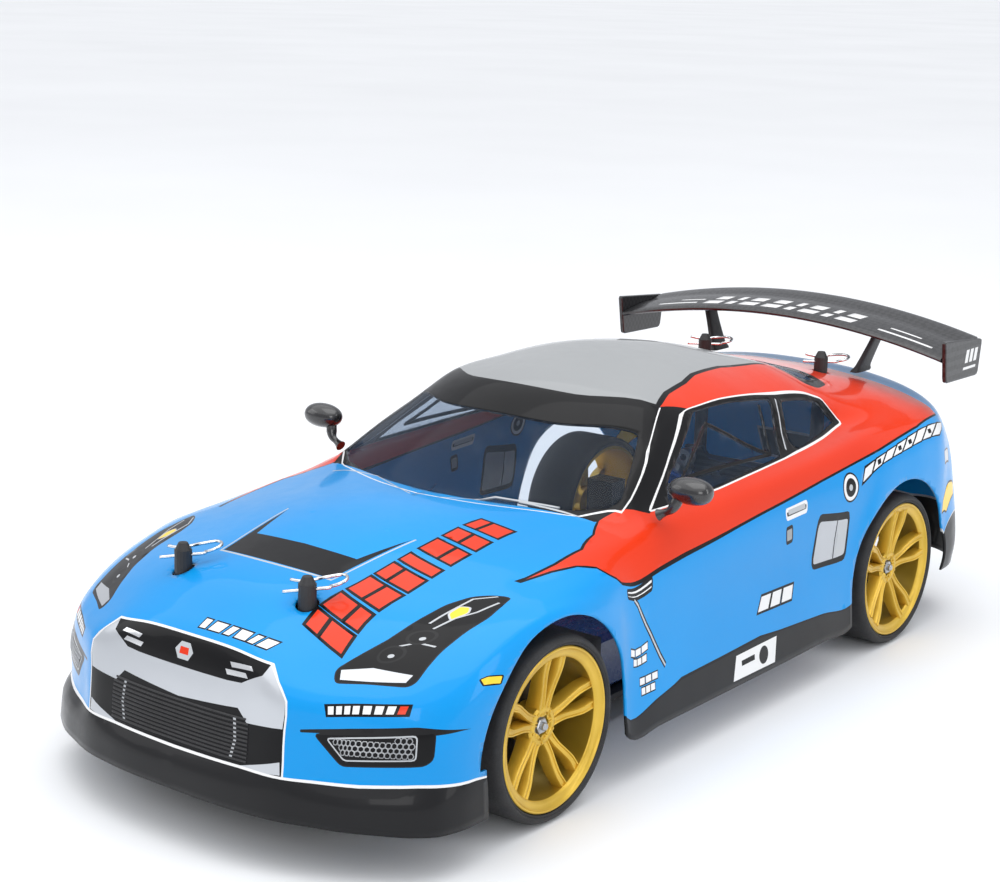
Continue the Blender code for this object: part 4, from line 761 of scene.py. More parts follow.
class Sheet:
    """Layers of paint for one side of the shell; the last one laid on a place is the one that shows."""

    def __init__(self):
        self.layers = []

    def fill(self, outline, colour):
        self.layers.append((list(outline), colour))

    def stroke(self, outline, width, colour):
        """A closed line, its middle on the outline."""
        self.layers.append((grown(outline, width / 2), colour, grown(outline, -width / 2)))

    def framed(self, outline, width, border, colour):
        self.fill(grown(outline, width / 2), border)
        self.fill(grown(outline, -width / 2), colour)

    def line(self, line, width, colour):
        self.fill(ribbon(line, width), colour)

    def patch(self, outline, radius, width, border, colour):
        """A framed mark given by places on the shell, with round corners."""
        self.framed(rounded(traced(outline), radius), width, border, colour)

    def kinds(self, flat):
        found = np.full(len(flat), BLUE)
        for layer in self.layers:
            hit = inside(flat, layer[0])
            if len(layer) == 3:
                hit &= ~inside(flat, layer[2])
            found[hit] = layer[1]
        return found

    def edges(self):
        for layer in self.layers:
            yield layer[0]
            if len(layer) == 3:
                yield layer[2]


def between(a, b, share):
    return tuple(p + (q - p) * share for p, q in zip(a, b))


def blocks(sheet, corners, shapes, border, fill, edge=0.8, colours=None):
    """Generic slanted blocks in a four-cornered field; each is (start, end, low, high, slant) in shares."""
    a, b, c, d = corners  # low start, low end, high end, high start
    made = []
    for index, (start, end, low, high, slant) in enumerate(shapes):
        ring = []
        for along, up in ((start, low), (end, low), (end, high), (start, high)):
            along += slant * (up - 0.5)
            ring.append(between(between(a, b, along), between(d, c, along), up))
        made.append((ring, (colours or {}).get(index, fill)))
    for ring, _ in made:
        sheet.fill(grown(ring, edge), border)
    for ring, colour in made:
        sheet.fill(ring, colour)


def disc(centre, radius, sides=28):
    return [(centre[0] + radius * cos, centre[1] + radius * sin) for cos, sin in turns(sides)]


def cross_over(line):
    """Outline closed beyond the middle line."""
    return [(line[0][0], OVER)] + line + [(line[-1][0], OVER)]


def paint_red(sheet):
    upper, lower = traced(RED_UPPER), traced(RED_LOWER)
    inner_end, tail = to_sheet((0, -60, 110)), to_sheet((0, 178, 99.5))
    sheet.line(lower, 2.2, BLACK)
    sheet.fill(upper + [inner_end, (inner_end[0], OVER), (tail[0], OVER)] + lower[::-1], RED)
    sheet.line(upper, 1.0, BLACK)


def paint_glass(sheet, left):
    """Windows and their frames; the wipers aren't mirrored from side to side."""
    frame_line = traced(SCREEN_FRAME)
    sheet.fill(grown([(frame_line[0][0] - 3.5, -9)] + frame_line + [(frame_line[-1][0], -9)], 1.0), BLACK)
    glass = traced(SCREEN_GLASS)
    sheet.fill([(glass[-1][0], OVER), (glass[0][0], OVER)] + rounded(glass, 2.0)[2:-2], CLEAR)
    pin = traced(SCREEN_PINSTRIPE)
    sheet.line(pin + [(pin[-1][0], -4)], 1.0, WHITE)
    for wiper in WIPERS:
        sheet.line([(u, v if left else -v) for u, v in traced(wiper)], 0.8, PALE)
    sheet.framed(cross_over(traced(ROOF)), 1.6, BLACK, GREY)
    side = rounded(traced(SIDE_PINSTRIPE), 3.0)
    sheet.fill(grown(side, -0.5), BLACK)
    for pane in (DOOR_GLASS, QUARTER_GLASS):
        sheet.fill(rounded(traced(pane), 2.5), CLEAR)
    front_high, front_low, rear_low, rear_high = traced(CAGE)
    for ends in ((front_high, front_low), (front_high, rear_low), (rear_high, rear_low), (front_low, rear_low)):
        sheet.line(ends, 0.7, BLACK)
    sheet.line(traced(PILLAR), 0.7, PALE)
    sheet.stroke(side, 1.0, WHITE)
    rear = traced(REAR_FRAME)
    sheet.fill([(rear[0][0], OVER)] + rounded(rear, 3.0)[2:-2] + [(rear[-1][0], OVER)], BLACK)
    pane = grown([(rear[0][0], -20)] + rear + [(rear[-1][0], -20)], -4.5)
    sheet.fill(rounded(pane, 3.0), CLEAR)


def paint_bonnet(sheet, left):
    """Vent and blocks; the blocks are on the left side only."""
    for vent, colour in ((VENT_OUTER, BLACK), (VENT_INNER, BLUE)):
        corners = traced(vent)
        corners[0], corners[-1] = (corners[0][0], OVER), (corners[-1][0], OVER)
        sheet.fill(corners, colour)
    sheet.line(traced(VENT_LINE), 0.8, PALE)
    if not left:
        return
    shapes = []
    for start, width, split in BONNET_BLOCKS:
        whole = split == 1
        shapes.append((start, start + width, 0.0, 1.0 if whole else split - BONNET_GAP / 2, BONNET_SLANT))
        if not whole:
            shapes.append((start, start + width, split + BONNET_GAP / 2, 1.0, BONNET_SLANT))
    blocks(sheet, traced(BONNET_FIELD), shapes, BLACK, RED, 1.0)
    outer_back, back, front, outer_front = traced(NOSE_FIELD)
    field = [outer_back, (back[0], NOSE_FIELD_START), (front[0], NOSE_FIELD_START), outer_front]
    shapes = [(start, end, 0.1, 0.9, slant) for start, end, slant in NOSE_BLOCKS]
    blocks(sheet, field, shapes, BLACK, WHITE, 0.6)


def paint_nose(sheet):
    nose = traced(NOSE_SIDE)
    nose_area = [(nose[0][0], OVER)] + nose + [(nose[-1][0] - 1, OVER)]
    sheet.fill(grown(nose_area, 0.9), WHITE)
    sheet.fill(nose_area, BLACK)
    foot = traced(SILVER_FOOT)
    smile = traced(SMILE)
    band = [smile[0]] + nose[:2] + foot[::-1] + [(foot[0][0], OVER), (smile[-1][0], OVER)] + smile[::-1][:-1]
    sheet.fill(band, SILVER)
    for dash in GRILLE_DASHES:
        sheet.line(traced(dash), 1.3, CHROME)
    badge = to_sheet((0, -220, 66))[0]
    sheet.fill(cross_over([(badge - 2.2, 2.2), (badge, 4.2), (badge + 2.2, 2.2)]), PALE)
    sheet.fill(cross_over([(badge - 0.9, 2.0), (badge + 0.9, 2.0)]), RED)
    sheet.line(traced(GRILLE_SIDE), 0.9, PALE)
    sheet.fill(traced(CHIN_LEDGE), SILVER)


def paint_lamps(sheet):
    sheet.patch(HEADLIGHT, 2.0, 0.6, CHARCOAL, BLACK)
    sheet.fill(traced(HEADLIGHT_BAND), SILVER)
    for line in LAMP_LINES:
        sheet.line(traced(line), 0.7, PALE)
    for place, radius in LAMP_RINGS:
        spot = to_sheet(place)
        sheet.fill(disc(spot, radius), CHARCOAL)
        sheet.fill(disc(spot, radius - 0.9), BLACK)
        # the small pale disc set off each ring's middle is a painted glint: a painted highlight on the lamp lens
        sheet.fill(disc((spot[0] - 0.8, spot[1] + 0.6), 0.9), PALE)
    sheet.patch(LAMP_MARKER, 1.0, 0.5, SILVER, YELLOW)
    sheet.patch(SIDE_MARKER, 0.8, 0.7, BLACK, YELLOW)
    sheet.fill(rounded(traced(SHELF), 0.5), CHARCOAL)
    sheet.patch(FOG_LAMP, 2.5, 0.5, CHARCOAL, BLACK)
    sheet.stroke(rounded(traced(FOG_MESH), 1.5), 0.5, PALE)
    row = traced(BUMPER_ROW)
    sheet.fill(grown(row, 0.4), BLACK)
    shapes = [(0.03 + 0.122 * k, 0.115 + 0.122 * k, 0.12, 0.88, 0.02) for k in range(ROW_BLOCKS)]
    blocks(sheet, row, shapes, BLACK, WHITE, 0.2, {ROW_BLOCKS - 1: RED})


def paint_foot(sheet):
    """Dark lower parts: lip, skirts and tail."""
    lip = traced(LIP_LINE)
    lip = [(lip[0][0], OVER)] + lip
    sheet.fill(lip + [(lip[-1][0] + 4, BELOW), (-12, BELOW), (-12, OVER)], CHARCOAL)
    sheet.line(lip, 1.0, WHITE)
    skirt = traced(SKIRT_LINE)
    sheet.fill(skirt + [(skirt[-1][0], BELOW), (skirt[0][0], BELOW)], CHARCOAL)
    sheet.line(skirt, 0.7, BLACK)
    tail = traced(TAIL_LINE)
    tail.append((tail[-1][0], OVER))
    sheet.fill(tail + [(LONG + 12, OVER), (LONG + 12, BELOW), (tail[0][0] - 3, BELOW)], CHARCOAL)
    sheet.line(tail, 0.9, PALE)


def paint_flank(sheet):
    """Marks on the front wing, the door and the rear quarter."""
    plate = traced(FENDER_PLATE)
    sheet.framed(rounded(plate, 0.8), 0.9, BLACK, WHITE)
    sheet.line([between(plate[0], plate[3], 0.55), between(plate[1], plate[2], 0.55)], 0.8, CHARCOAL)
    sheet.line(traced(FENDER_BLADE), 1.6, BLACK)
    sheet.line(traced(FENDER_BLADE), 0.6, PALE)
    for y, z, width in FENDER_ROWS:
        low, high = z - FENDER_ROW_HALF, z + FENDER_ROW_HALF
        field = traced(((90.5, y, low), (90.5, y + width, low), (90.3, y + width, high), (90.3, y, high)))
        shapes = [(start, end, 0, 1, 0) for start, end in ((0.02, 0.28), (0.34, 0.62), (0.68, 0.97))]
        blocks(sheet, field, shapes, BLACK, WHITE, 0.3)
    sheet.patch(HANDLE, 1.2, 0.9, WHITE, BLACK)
    sheet.line(traced(GRIP), 1.1, PALE)
    sheet.patch(TAB, 0.8, 0.8, BLACK, GREY)
    sheet.patch(QUARTER_VENT, 2.5, 1.6, BLACK, SILVER)
    low_front, low_back, high_back, high_front = traced(QUARTER_VENT)
    bar = [between(low_front, low_back, 0.62), between(high_front, high_back, 0.62)]
    sheet.fill(grown([bar[0], low_back, high_back, bar[1]], -1.2), PALE)
    sheet.line(bar, 0.7, CHARCOAL)
    for radius, colour in ((6.4, BLACK), (5.6, WHITE), (4.0, BLACK), (1.4, PALE)):
        sheet.fill(flank_disc(*RING_CENTRE, radius), colour)
    row = traced(QUARTER_ROW)
    shapes = [(0.01 + 0.123 * k, 0.11 + 0.123 * k, 0.12, 0.88, 0.03) for k in range(ROW_BLOCKS)]
    blocks(sheet, row, shapes, BLACK, WHITE, 0.8)
    for k in (1, 3, 4, 6):
        along = 0.06 + 0.123 * k
        hole = between(between(row[0], row[1], along), between(row[3], row[2], along), 0.5)
        corners = ((-1.6, -1.1), (1.6, -1.1), (1.6, 1.1), (-1.6, 1.1))
        sheet.fill([(hole[0] + u, hole[1] + v) for u, v in corners], BLACK)
    shapes = [(start, end, 0.05, 0.95, 0.05) for start, end in ((0.02, 0.3), (0.36, 0.62), (0.68, 0.96))]
    blocks(sheet, traced(DOOR_MARK), shapes, BLACK, WHITE, 0.7)
    sheet.patch(REFLECTOR, 1.0, 0.8, BLACK, YELLOW)
    sheet.patch(TAIL_DASH, 1.5, 0.8, BLACK, SILVER)
    plate = traced(SKIRT_PLATE)
    sheet.fill(plate, WHITE)
    middle = between(plate[0], plate[2], 0.5)
    sheet.fill(disc((middle[0] + 6, middle[1]), 3.6), CHARCOAL)
    sheet.line([(middle[0] - 11, middle[1] - 1), (middle[0] - 1, middle[1] - 1)], 2.2, BLACK)


def paint_tail(sheet):
    sheet.patch(TAIL_LAMP, 2.0, 1.2, BLACK, DEEP_RED)
    sheet.stroke(rounded(grown(traced(TAIL_LAMP), -3.2), 2.0), 0.9, PALE)
    recess = traced(PLATE_RECESS)
    recess = [(recess[0][0], OVER)] + recess[1:3] + [(recess[-1][0], OVER)]
    sheet.framed(recess, 1.0, PALE, BLACK)


def lay_paint(left):
    """All the paint on one side, with the wheel arches and post holes left open."""
    sheet = Sheet()
    paint_red(sheet)
    paint_glass(sheet, left)
    paint_bonnet(sheet, left)
    for paint in (paint_nose, paint_lamps, paint_foot, paint_flank, paint_tail):
        paint(sheet)
    for axle_y in AXLES.values():
        sheet.fill(arch_outline(axle_y), OPEN)
    for post in POSTS.values():
        sheet.fill(hole_outline(post), OPEN)
    return sheet


def flank_disc(y, z, radius):
    """A round mark on the flank, true when it is seen square from the side."""
    return [to_sheet(side_spot(*spot)) for spot in disc((y, z), radius, 32)]


def arch_outline(axle_y):
    """The wheel arch in the shell's side, traced onto the sheet."""
    ring = []
    for k in range(ARCH_STEPS + 1):
        angle = math.pi * k / ARCH_STEPS
        y, z = axle_y - ARCH_RADIUS * math.cos(angle), AXLE_HEIGHT - ARCH_DROP + ARCH_RADIUS * math.sin(angle)
        ring.append(to_sheet(side_spot(y, z)))
    return ring + [(ring[-1][0], BELOW), (ring[0][0], BELOW)]


def side_spot(y, z):
    """Place on the shell's flank seen square from the side."""
    found = NET.ray_cast(Vector((200, y, z)), Vector((-1, 0, 0)), 190)
    return found[0] if found[0] is not None else Vector((93, y, z))


def hole_outline(post):
    ring = []
    for x, y in disc(post, POST_HOLE):
        found = NET.ray_cast(Vector((x, y, 200)), Vector((0, 0, -1)), 190)
        ring.append(to_sheet(found[0]))
    return ring


GRID_STEP, EDGE_STEP = 2.5, 4  # mm on the sheet between points of the grid, and of an outline
SMALLEST_FACE = 1e-6


def painted_half(left):
    """Triangles of one half: places on the shell, corners, and the colour of each."""
    sheet = lay_paint(left)
    points, edges, seen = [], [], {}

    def corner(u, v):
        u, v = min(max(u, 0.0), LONG), min(max(v, 0.0), WIDE)
        key = (round(u, 2), round(v, 2))
        if key not in seen:
            seen[key] = len(points)
            points.append(Vector((u, v)))
        return seen[key]

    for outline in sheet.edges():
        spots = []
        for (ax, ay), (bx, by) in zip(outline, list(outline[1:]) + [outline[0]]):
            parts = max(1, int(math.hypot(bx - ax, by - ay) / EDGE_STEP))
            spots += [corner(ax + (bx - ax) * k / parts, ay + (by - ay) * k / parts) for k in range(parts)]
        edges += [(a, b) for a, b in zip(spots, spots[1:] + spots[:1]) if a != b]
    rows, columns = int(LONG / GRID_STEP), int(WIDE / GRID_STEP)
    grid = [[corner(LONG * i / rows, WIDE * j / columns) for j in range(columns + 1)] for i in range(rows + 1)]
    rim = [row[0] for row in grid] + grid[-1][1:] + [row[-1] for row in grid[-2::-1]] + grid[0][-2::-1]
    edges += [(a, b) for a, b in zip(rim, rim[1:] + rim[:1]) if a != b]
    flat, _, faces, _, _, _ = geometry.delaunay_2d_cdt(points, edges, [], 0, 1e-3)
    flat = np.array([(p.x, p.y) for p in flat])
    faces = np.array([tuple(f) for f in faces])
    centres = flat[faces].mean(axis=1)
    kinds = sheet.kinds(centres)
    sides = flat[faces]
    area = np.abs((sides[:, 1, 0] - sides[:, 0, 0]) * (sides[:, 2, 1] - sides[:, 0, 1])
                  - (sides[:, 1, 1] - sides[:, 0, 1]) * (sides[:, 2, 0] - sides[:, 0, 0]))
    kept = (area > SMALLEST_FACE) & (kinds != OPEN)
    return sheet_to_shell(flat), faces[kept], kinds[kept]


SHELL_WALL, PANE_WALL = 1.0, 0.7
SHELL_WELD = 0.01
SHELL_MIDDLE = np.array([0, 0, 45.0])  # a line inside the shell, to tell outwards from inwards


def make_shell(paints, window):
    """The printed shell and the clear panes left in it."""
    halves = []
    for left in (True, False):
        places, faces, kinds = painted_half(left)
        a, b, c = (places[faces[:, k]] for k in range(3))
        outward = (np.cross(b - a, c - a) * ((a + b + c) / 3 - SHELL_MIDDLE)).sum(axis=1) > 0
        if outward.mean() < 0.5:
            faces = faces[:, ::-1]
        if not left:
            places = places * np.array([-1.0, 1.0, 1.0])
            faces = faces[:, ::-1]
        halves.append((places, faces, kinds))
    (places, faces, kinds), (far_places, far_faces, far_kinds) = halves
    faces = np.concatenate([faces, far_faces + len(places)])
    places, kinds = np.concatenate([places, far_places]), np.concatenate([kinds, far_kinds])

    def part(name, chosen, colours, materials, thickness):
        used, index = np.unique(faces[chosen], return_inverse=True)
        mesh = mesh_of(name, places[used].tolist(), index.reshape(-1, 3).tolist(), colours.tolist())
        clean(mesh, SHELL_WELD)
        piece = new_piece(name, mesh, "shell", *materials)
        thicken(piece, thickness)
        return piece

    clear = kinds == CLEAR
    piece = part("painted_shell", ~clear, kinds[~clear], paints, SHELL_WALL)
    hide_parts("body_shell")
    part("windows", clear, kinds[clear] * 0, [window], PANE_WALL)


# ---- node trees for what repeats ----------------------------------------------------------------
def new_tree(name, *sockets):
    """A geometry tree with an input mesh and named number inputs."""
    tree = bpy.data.node_groups.new(name, "GeometryNodeTree")
    tree.interface.new_socket("Lines", in_out="INPUT", socket_type="NodeSocketGeometry")
    for label, value, kind in sockets:
        socket = tree.interface.new_socket(label, in_out="INPUT", socket_type=kind)
        if value is not None:
            socket.default_value = value
    tree.interface.new_socket("Mesh", in_out="OUTPUT", socket_type="NodeSocketGeometry")
    return tree, tree.nodes.new("NodeGroupInput"), tree.nodes.new("NodeGroupOutput")


def close_tree(tree, source, given, result):
    """Ends a tree in real geometry with the chosen material."""
    real = tree.nodes.new("GeometryNodeRealizeInstances")
    finish_node = tree.nodes.new("GeometryNodeSetMaterial")
    tree.links.new(source, real.inputs["Geometry"])
    tree.links.new(real.outputs["Geometry"], finish_node.inputs["Geometry"])
    tree.links.new(given.outputs["Finish"], finish_node.inputs["Material"])
    tree.links.new(finish_node.outputs["Geometry"], result.inputs["Mesh"])


def bars_tree():
    """Round or flat bars along the edges of the given mesh."""
    tree, given, result = new_tree("bars along lines", ("Radius", 0.0005, "NodeSocketFloat"),
                                   ("Sides", 8, "NodeSocketInt"), ("Finish", None, "NodeSocketMaterial"))
    line = tree.nodes.new("GeometryNodeMeshToCurve")
    ring = tree.nodes.new("GeometryNodeCurvePrimitiveCircle")
    sweep = add_node(tree, "GeometryNodeCurveToMesh", Fill_Caps=True)
    join(tree, (given, "Lines", line, "Mesh"), (given, "Radius", ring, "Radius"),
         (given, "Sides", ring, "Resolution"), (line, "Curve", sweep, "Curve"),
         (ring, "Curve", sweep, "Profile Curve"))
    close_tree(tree, sweep.outputs["Mesh"], given, result)
    return tree


HEAD_TOP, SOCKET_WIDTH, SOCKET_LIFT = 0.68, 0.42, 0.00012  # two shares of the head's radius, and metres


def screw_tree():
    """Button-head screws with a hexagon socket, one at each point, turned to its normal."""
    tree, given, result = new_tree("button screws", ("Head Radius", 0.0024, "NodeSocketFloat"),
                                   ("Head Height", 0.0014, "NodeSocketFloat"),
                                   ("Finish", None, "NodeSocketMaterial"))
    head = add_node(tree, "GeometryNodeMeshCone", Vertices=16, Side_Segments=2)
    socket = add_node(tree, "GeometryNodeMeshCone", Vertices=6)
    share, wide = tree.nodes.new("ShaderNodeMath"), tree.nodes.new("ShaderNodeMath")
    for node, factor in ((share, HEAD_TOP), (wide, SOCKET_WIDTH)):
        node.operation = "MULTIPLY"
        node.inputs[1].default_value = factor
    both = tree.nodes.new("GeometryNodeJoinGeometry")
    place = tree.nodes.new("GeometryNodeInstanceOnPoints")
    normal = tree.nodes.new("GeometryNodeInputNormal")
    turn = tree.nodes.new("FunctionNodeAlignRotationToVector")
    turn.axis = "Z"
    lift = add_node(tree, "GeometryNodeTransform", Translation=(0, 0, SOCKET_LIFT))
    join(tree, (given, "Head Radius", head, "Radius Bottom"), (given, "Head Radius", share, 0),
         (share, "Value", head, "Radius Top"), (given, "Head Height", head, "Depth"),
         (given, "Head Radius", wide, 0), (wide, "Value", socket, "Radius Bottom"),
         (wide, "Value", socket, "Radius Top"), (given, "Head Height", socket, "Depth"),
         (socket, "Mesh", lift, "Geometry"), (head, "Mesh", both, "Geometry"),
         (lift, "Geometry", both, "Geometry"), (given, "Lines", place, "Points"),
         (both, "Geometry", place, "Instance"), (normal, "Normal", turn, "Vector"),
         (turn, "Rotation", place, "Rotation"))
    close_tree(tree, place.outputs["Instances"], given, result)
    return tree


def coil_tree():
    """A coil spring that stands on the origin, along Z before it is turned."""
    tree, given, result = new_tree("coil spring", ("Turns", 6.0, "NodeSocketFloat"),
                                   ("Coil Radius", 0.0068, "NodeSocketFloat"),
                                   ("Height", 0.02, "NodeSocketFloat"),
                                   ("Wire Radius", 0.0006, "NodeSocketFloat"),
                                   ("Finish", None, "NodeSocketMaterial"))
    coil = add_node(tree, "GeometryNodeCurveSpiral", Resolution=24)
    ring = add_node(tree, "GeometryNodeCurvePrimitiveCircle", Resolution=8)
    sweep = add_node(tree, "GeometryNodeCurveToMesh", Fill_Caps=True)
    join(tree, (given, "Turns", coil, "Rotations"), (given, "Coil Radius", coil, "Start Radius"),
         (given, "Coil Radius", coil, "End Radius"), (given, "Height", coil, "Height"),
         (given, "Wire Radius", ring, "Radius"), (coil, "Curve", sweep, "Curve"),
         (ring, "Curve", sweep, "Profile Curve"))
    close_tree(tree, sweep.outputs["Mesh"], given, result)
    return tree


def grown_mesh(name, tree, mesh, **values):
    """Runs a tree on a mesh and returns the plain mesh it makes."""
    holder = bpy.data.objects.new(name, mesh)
    bpy.context.collection.objects.link(holder)
    modifier = holder.modifiers.new(tree.name, "NODES")
    modifier.node_group = tree
    keys = {item.name: item.identifier for item in tree.interface.items_tree if item.in_out == "INPUT"}
    for label, value in values.items():
        modifier[keys[label.replace("_", " ")]] = value
    graph = bpy.context.evaluated_depsgraph_get()
    result = bpy.data.meshes.new_from_object(holder.evaluated_get(graph), depsgraph=graph)
    holder.modifiers.clear()
    bpy.data.objects.remove(holder)
    result.name = name
    return result


def lines_mesh(name, lines):
    points, edges = [], []
    for line in lines:
        start = len(points)
        points += [(x * MM, (y + AXLE_SHIFT) * MM, z * MM) for x, y, z in line]
        edges += [(start + i, start + i + 1) for i in range(len(line) - 1)]
    mesh = bpy.data.meshes.new(name)
    mesh.from_pydata(points, edges, [])
    return mesh


def place_screws(name, body, tree, steel, spots, radius, height):
    """Screws of one body, grouped by the way that they face."""
    groups = {}
    for place, way in spots:
        groups.setdefault(tuple(way), []).append(place)
    bm = bmesh.new()
    for way, places in groups.items():
        turn = Vector(way).to_track_quat("Z", "Y").to_matrix().to_4x4()
        seats = mesh_of(name, places, [])
        seats.transform(turn.inverted())
        heads = grown_mesh(name, tree, seats, Head_Radius=radius * MM, Head_Height=height * MM, Finish=steel)
        heads.transform(turn)
        bm.from_mesh(heads)
    mesh = bpy.data.meshes.new(name)
    bm.to_mesh(mesh)
    bm.free()
    new_piece(name, mesh, body, steel, smooth=False)


# ---- wheels -------------------------------------------------------------------------------------
SPOKE_PHASE = 85.0  # degrees from straight back, of the first pair
SPOKES = 5
# radius, distance from the pair's middle, and height over the hub's face
SPOKE_LINE = ((3.5, 1.7, -0.3), (8.0, 1.8, 0.2), (12.0, 2.3, 0.8), (16.5, 3.4, 1.6), (21.0, 4.3, 2.5),
              (26.6, 4.3, 3.4))
HUB_FACE = {"front": 86.2, "rear": 87.6}
LUG_CIRCLE = 6.05


def spoke_leg(builder, side, axle_y, angle, lean, face):
    """One curved leg of a pair: a hollow-topped bar, thicker towards the hub."""
    cos, sin = math.cos(angle), math.sin(angle)
    stations = curve_through(SPOKE_LINE, 4)
    rings = []
    for i, (radius, spread_by, bow) in enumerate(stations):
        share = i / (len(stations) - 1)
        half, depth = 1.7 - 0.2 * math.sin(math.pi * share), 6.4 - 2.2 * share
        section = ((-half - 0.25, -depth), (half + 0.25, -depth), (half, -0.5), (half - 0.35, 0.0),
                   (half - 0.75, -0.05), (half - 1.0, -0.5), (-half + 1.0, -0.5), (-half + 0.75, -0.05),
                   (-half + 0.35, 0.0), (-half, -0.5))
        ring = []
        for across, out in section:
            away = spread_by * lean + across
            y, z = radius * cos - away * sin, radius * sin + away * cos
            ring.append((side * (face + bow + out), axle_y + y, AXLE_HEIGHT + z))
        rings.append(ring)
    builder.rings(rings)


def hexagon(builder, side, x0, x1, radius, centre_y):
    builder.rings([[(side * x, centre_y + r * cos, AXLE_HEIGHT + r * sin) for cos, sin in turns(6)]
                   for x, r in ((x0, radius), (x1 - 0.4, radius), (x1, radius - 0.4))])


def make_wheel(end, axle_y, name, side, finishes):
    body = f"wheel_{end}_{name}"
    centre, axis = (0, axle_y, AXLE_HEIGHT), (side, 0, 0)
    inner = TYRE_FACE - TYRE_WIDTH
    rim = Builder()
    rim.turned([(inner + 1.0, 30.2), (inner + 1.0, 28.6), (inner + 4, 28.0), (inner + 12, 26.9), (88.0, 26.4),
                (88.6, 26.0), (89.6, 25.9), (90.2, 26.3), (90.5, 27.2), (90.7, 28.4), (91.2, 28.9), (91.7, 29.3),
                (91.8, 29.8), (91.5, 30.2)], centre, axis, 96)
    face = HUB_FACE[end]
    for i in range(SPOKES):
        angle = math.radians(SPOKE_PHASE + 360 / SPOKES * i)
        for lean in (-1, 1):
            spoke_leg(rim, side, axle_y, angle, lean, face)
    rim.turned([(face - 9, 7.6), (face - 0.9, 7.6), (face - 0.2, 7.0), (face, 6.2), (face, 5.3),
                (face - 0.4, 4.9),
                (face - 2.0, 4.7), (face - 2.0, 1.4), (face - 9, 1.4)], centre, axis, 40)
    for k in range(SPOKES):
        angle = math.radians(SPOKE_PHASE + 360 / SPOKES * (k + 0.5))
        y, z = LUG_CIRCLE * math.cos(angle), LUG_CIRCLE * math.sin(angle)
        rim.turned([(face - 1, 0.55), (face + 0.25, 0.55), (face + 0.35, 0.3), (face + 0.35, 0.02),
                    (face - 1, 0.02)], (0, axle_y + y, AXLE_HEIGHT + z), axis, 10)
    rim.turned([(65.9, 3.8), (face - 8.5, 3.8), (face - 8.5, 0.5), (65.9, 0.5)], centre, axis, 24)
    built(rim, f"wheel_rim_{end}_{name}", body, finishes["gold"], 38, f"rim_{end}_{name}")
    nut = Builder()
    hexagon(nut, side, face - 3.0, face - 0.2, 3.1, axle_y)
    nut.turned([(face - 3, 1.5), (face + 0.9, 1.5), (face + 1.3, 1.1), (face + 1.3, 0.02), (face - 3, 0.02)],
               centre, axis, 20)
    nut.turned([(face - 2.2, 4.4), (face - 1.7, 4.4), (face - 1.7, 2.0), (face - 2.2, 2.0)], centre, axis, 28)
    built(nut, f"wheel_nut_{end}_{name}", body, finishes["steel"], 30)
    tyre = Builder()
    r, x0, x1 = TYRE_RADIUS, inner, TYRE_FACE
    half = [(x1 - 1.1, 30.5), (x1 - 0.5, 30.7), (x1 - 0.25, 31.1), (x1 - 0.45, 31.5), (x1 - 0.1, 31.8),
            (x1, 32.3),
            (x1 - 0.25, 32.9), (x1 - 0.8, 33.5), (x1 - 1.7, 34.0), (x1 - 3.0, 34.3), (x1 - 5.0, r), (x1 - 9.0, r)]
    other = [(x0 + x1 - along, radius) for along, radius in reversed(half)]
    tyre.turned(half + other + [(x0 + 3.5, 30.5), (x1 - 3.5, 30.5)], centre, axis, 120)
    built(tyre, f"slick_tyre_{end}_{name}", body, finishes["rubber"], 50, f"tyre_{end}_{name}")


# ---- wing ---------------------------------------------------------------------------------------
WING_HALF = 87.7
WING_FRONT, WING_CHORD = 167.0, 38.5
WING_TOP, WING_ARCH, WING_PITCH = 141.5, 11.0, 5.4


WING_DEPTHS = {0.0: 0.9, 0.015: 1.8, 0.05: 2.6, 0.12: 3.2, 0.22: 3.4, 0.34: 3.4, 0.46: 3.3, 0.56: 3.1,
               0.64: 2.6, 0.7: 2.4, 0.76: 2.4, 0.84: 2.2, 0.92: 1.8, 0.975: 1.4, 1.0: 0.9}
WING_EDGES = {0.0: 0.9, 0.015: 0.25, 1.0: 0.25}  # how far the upper face drops at the edges
WING_STATIONS = 60
END_OUTLINE = ((166.6, 132.2), (167.2, 133.0), (169, 132.9), (203.5, 130.2), (205.2, 129.6), (205.3, 128.2),
               (203.4, 114.6), (202.6, 113.4), (201.0, 113.0), (171.0, 113.5), (169.8, 114.1), (169.3, 115.4))
END_MIDDLE = (186.0, 123.0)
# y from and to, z from and to, slant
END_MARKS = ((188, 191, 120.5, 126.5, 1.4), (192.5, 195.5, 120.5, 126.5, 1.4), (197, 200, 120.5, 126.5, 1.4),
             (186.5, 199.5, 117.4, 118.6, 0.3))
# share of the height, half length and half width
STAY_LINE = ((0.0, 7.4, 2.5), (0.05, 7.3, 2.45), (0.09, 6.6, 1.9), (0.16, 6.2, 1.55), (0.4, 5.4, 1.45),
             (0.7, 4.7, 1.4), (0.94, 4.3, 1.45), (1.0, 4.2, 1.5))


def wing_top(x, along):
    """Upper face of the blade; the trailing quarter carries a raised lip."""
    height = WING_TOP - WING_PITCH * (1 - along) ** 1.3 - WING_ARCH * (x / 88.0) ** 2
    return height - 0.9 * math.exp(-((along - 0.66) / 0.13) ** 2)


def make_blade(finish_blade):
    shares, rings = list(WING_DEPTHS), []
    for i in range(WING_STATIONS + 1):
        x = -WING_HALF + 2 * WING_HALF * i / WING_STATIONS
        rings.append([(x, WING_FRONT + WING_CHORD * s, wing_top(x, s) - WING_EDGES.get(s, 0)) for s in shares]
                     + [(x, WING_FRONT + WING_CHORD * s, wing_top(x, s) - WING_DEPTHS[s]) for s in shares[::-1]])
    blade = Builder()
    blade.rings(rings)
    built(blade, "rear_wing", "shell", finish_blade, 40, "wing_blade")


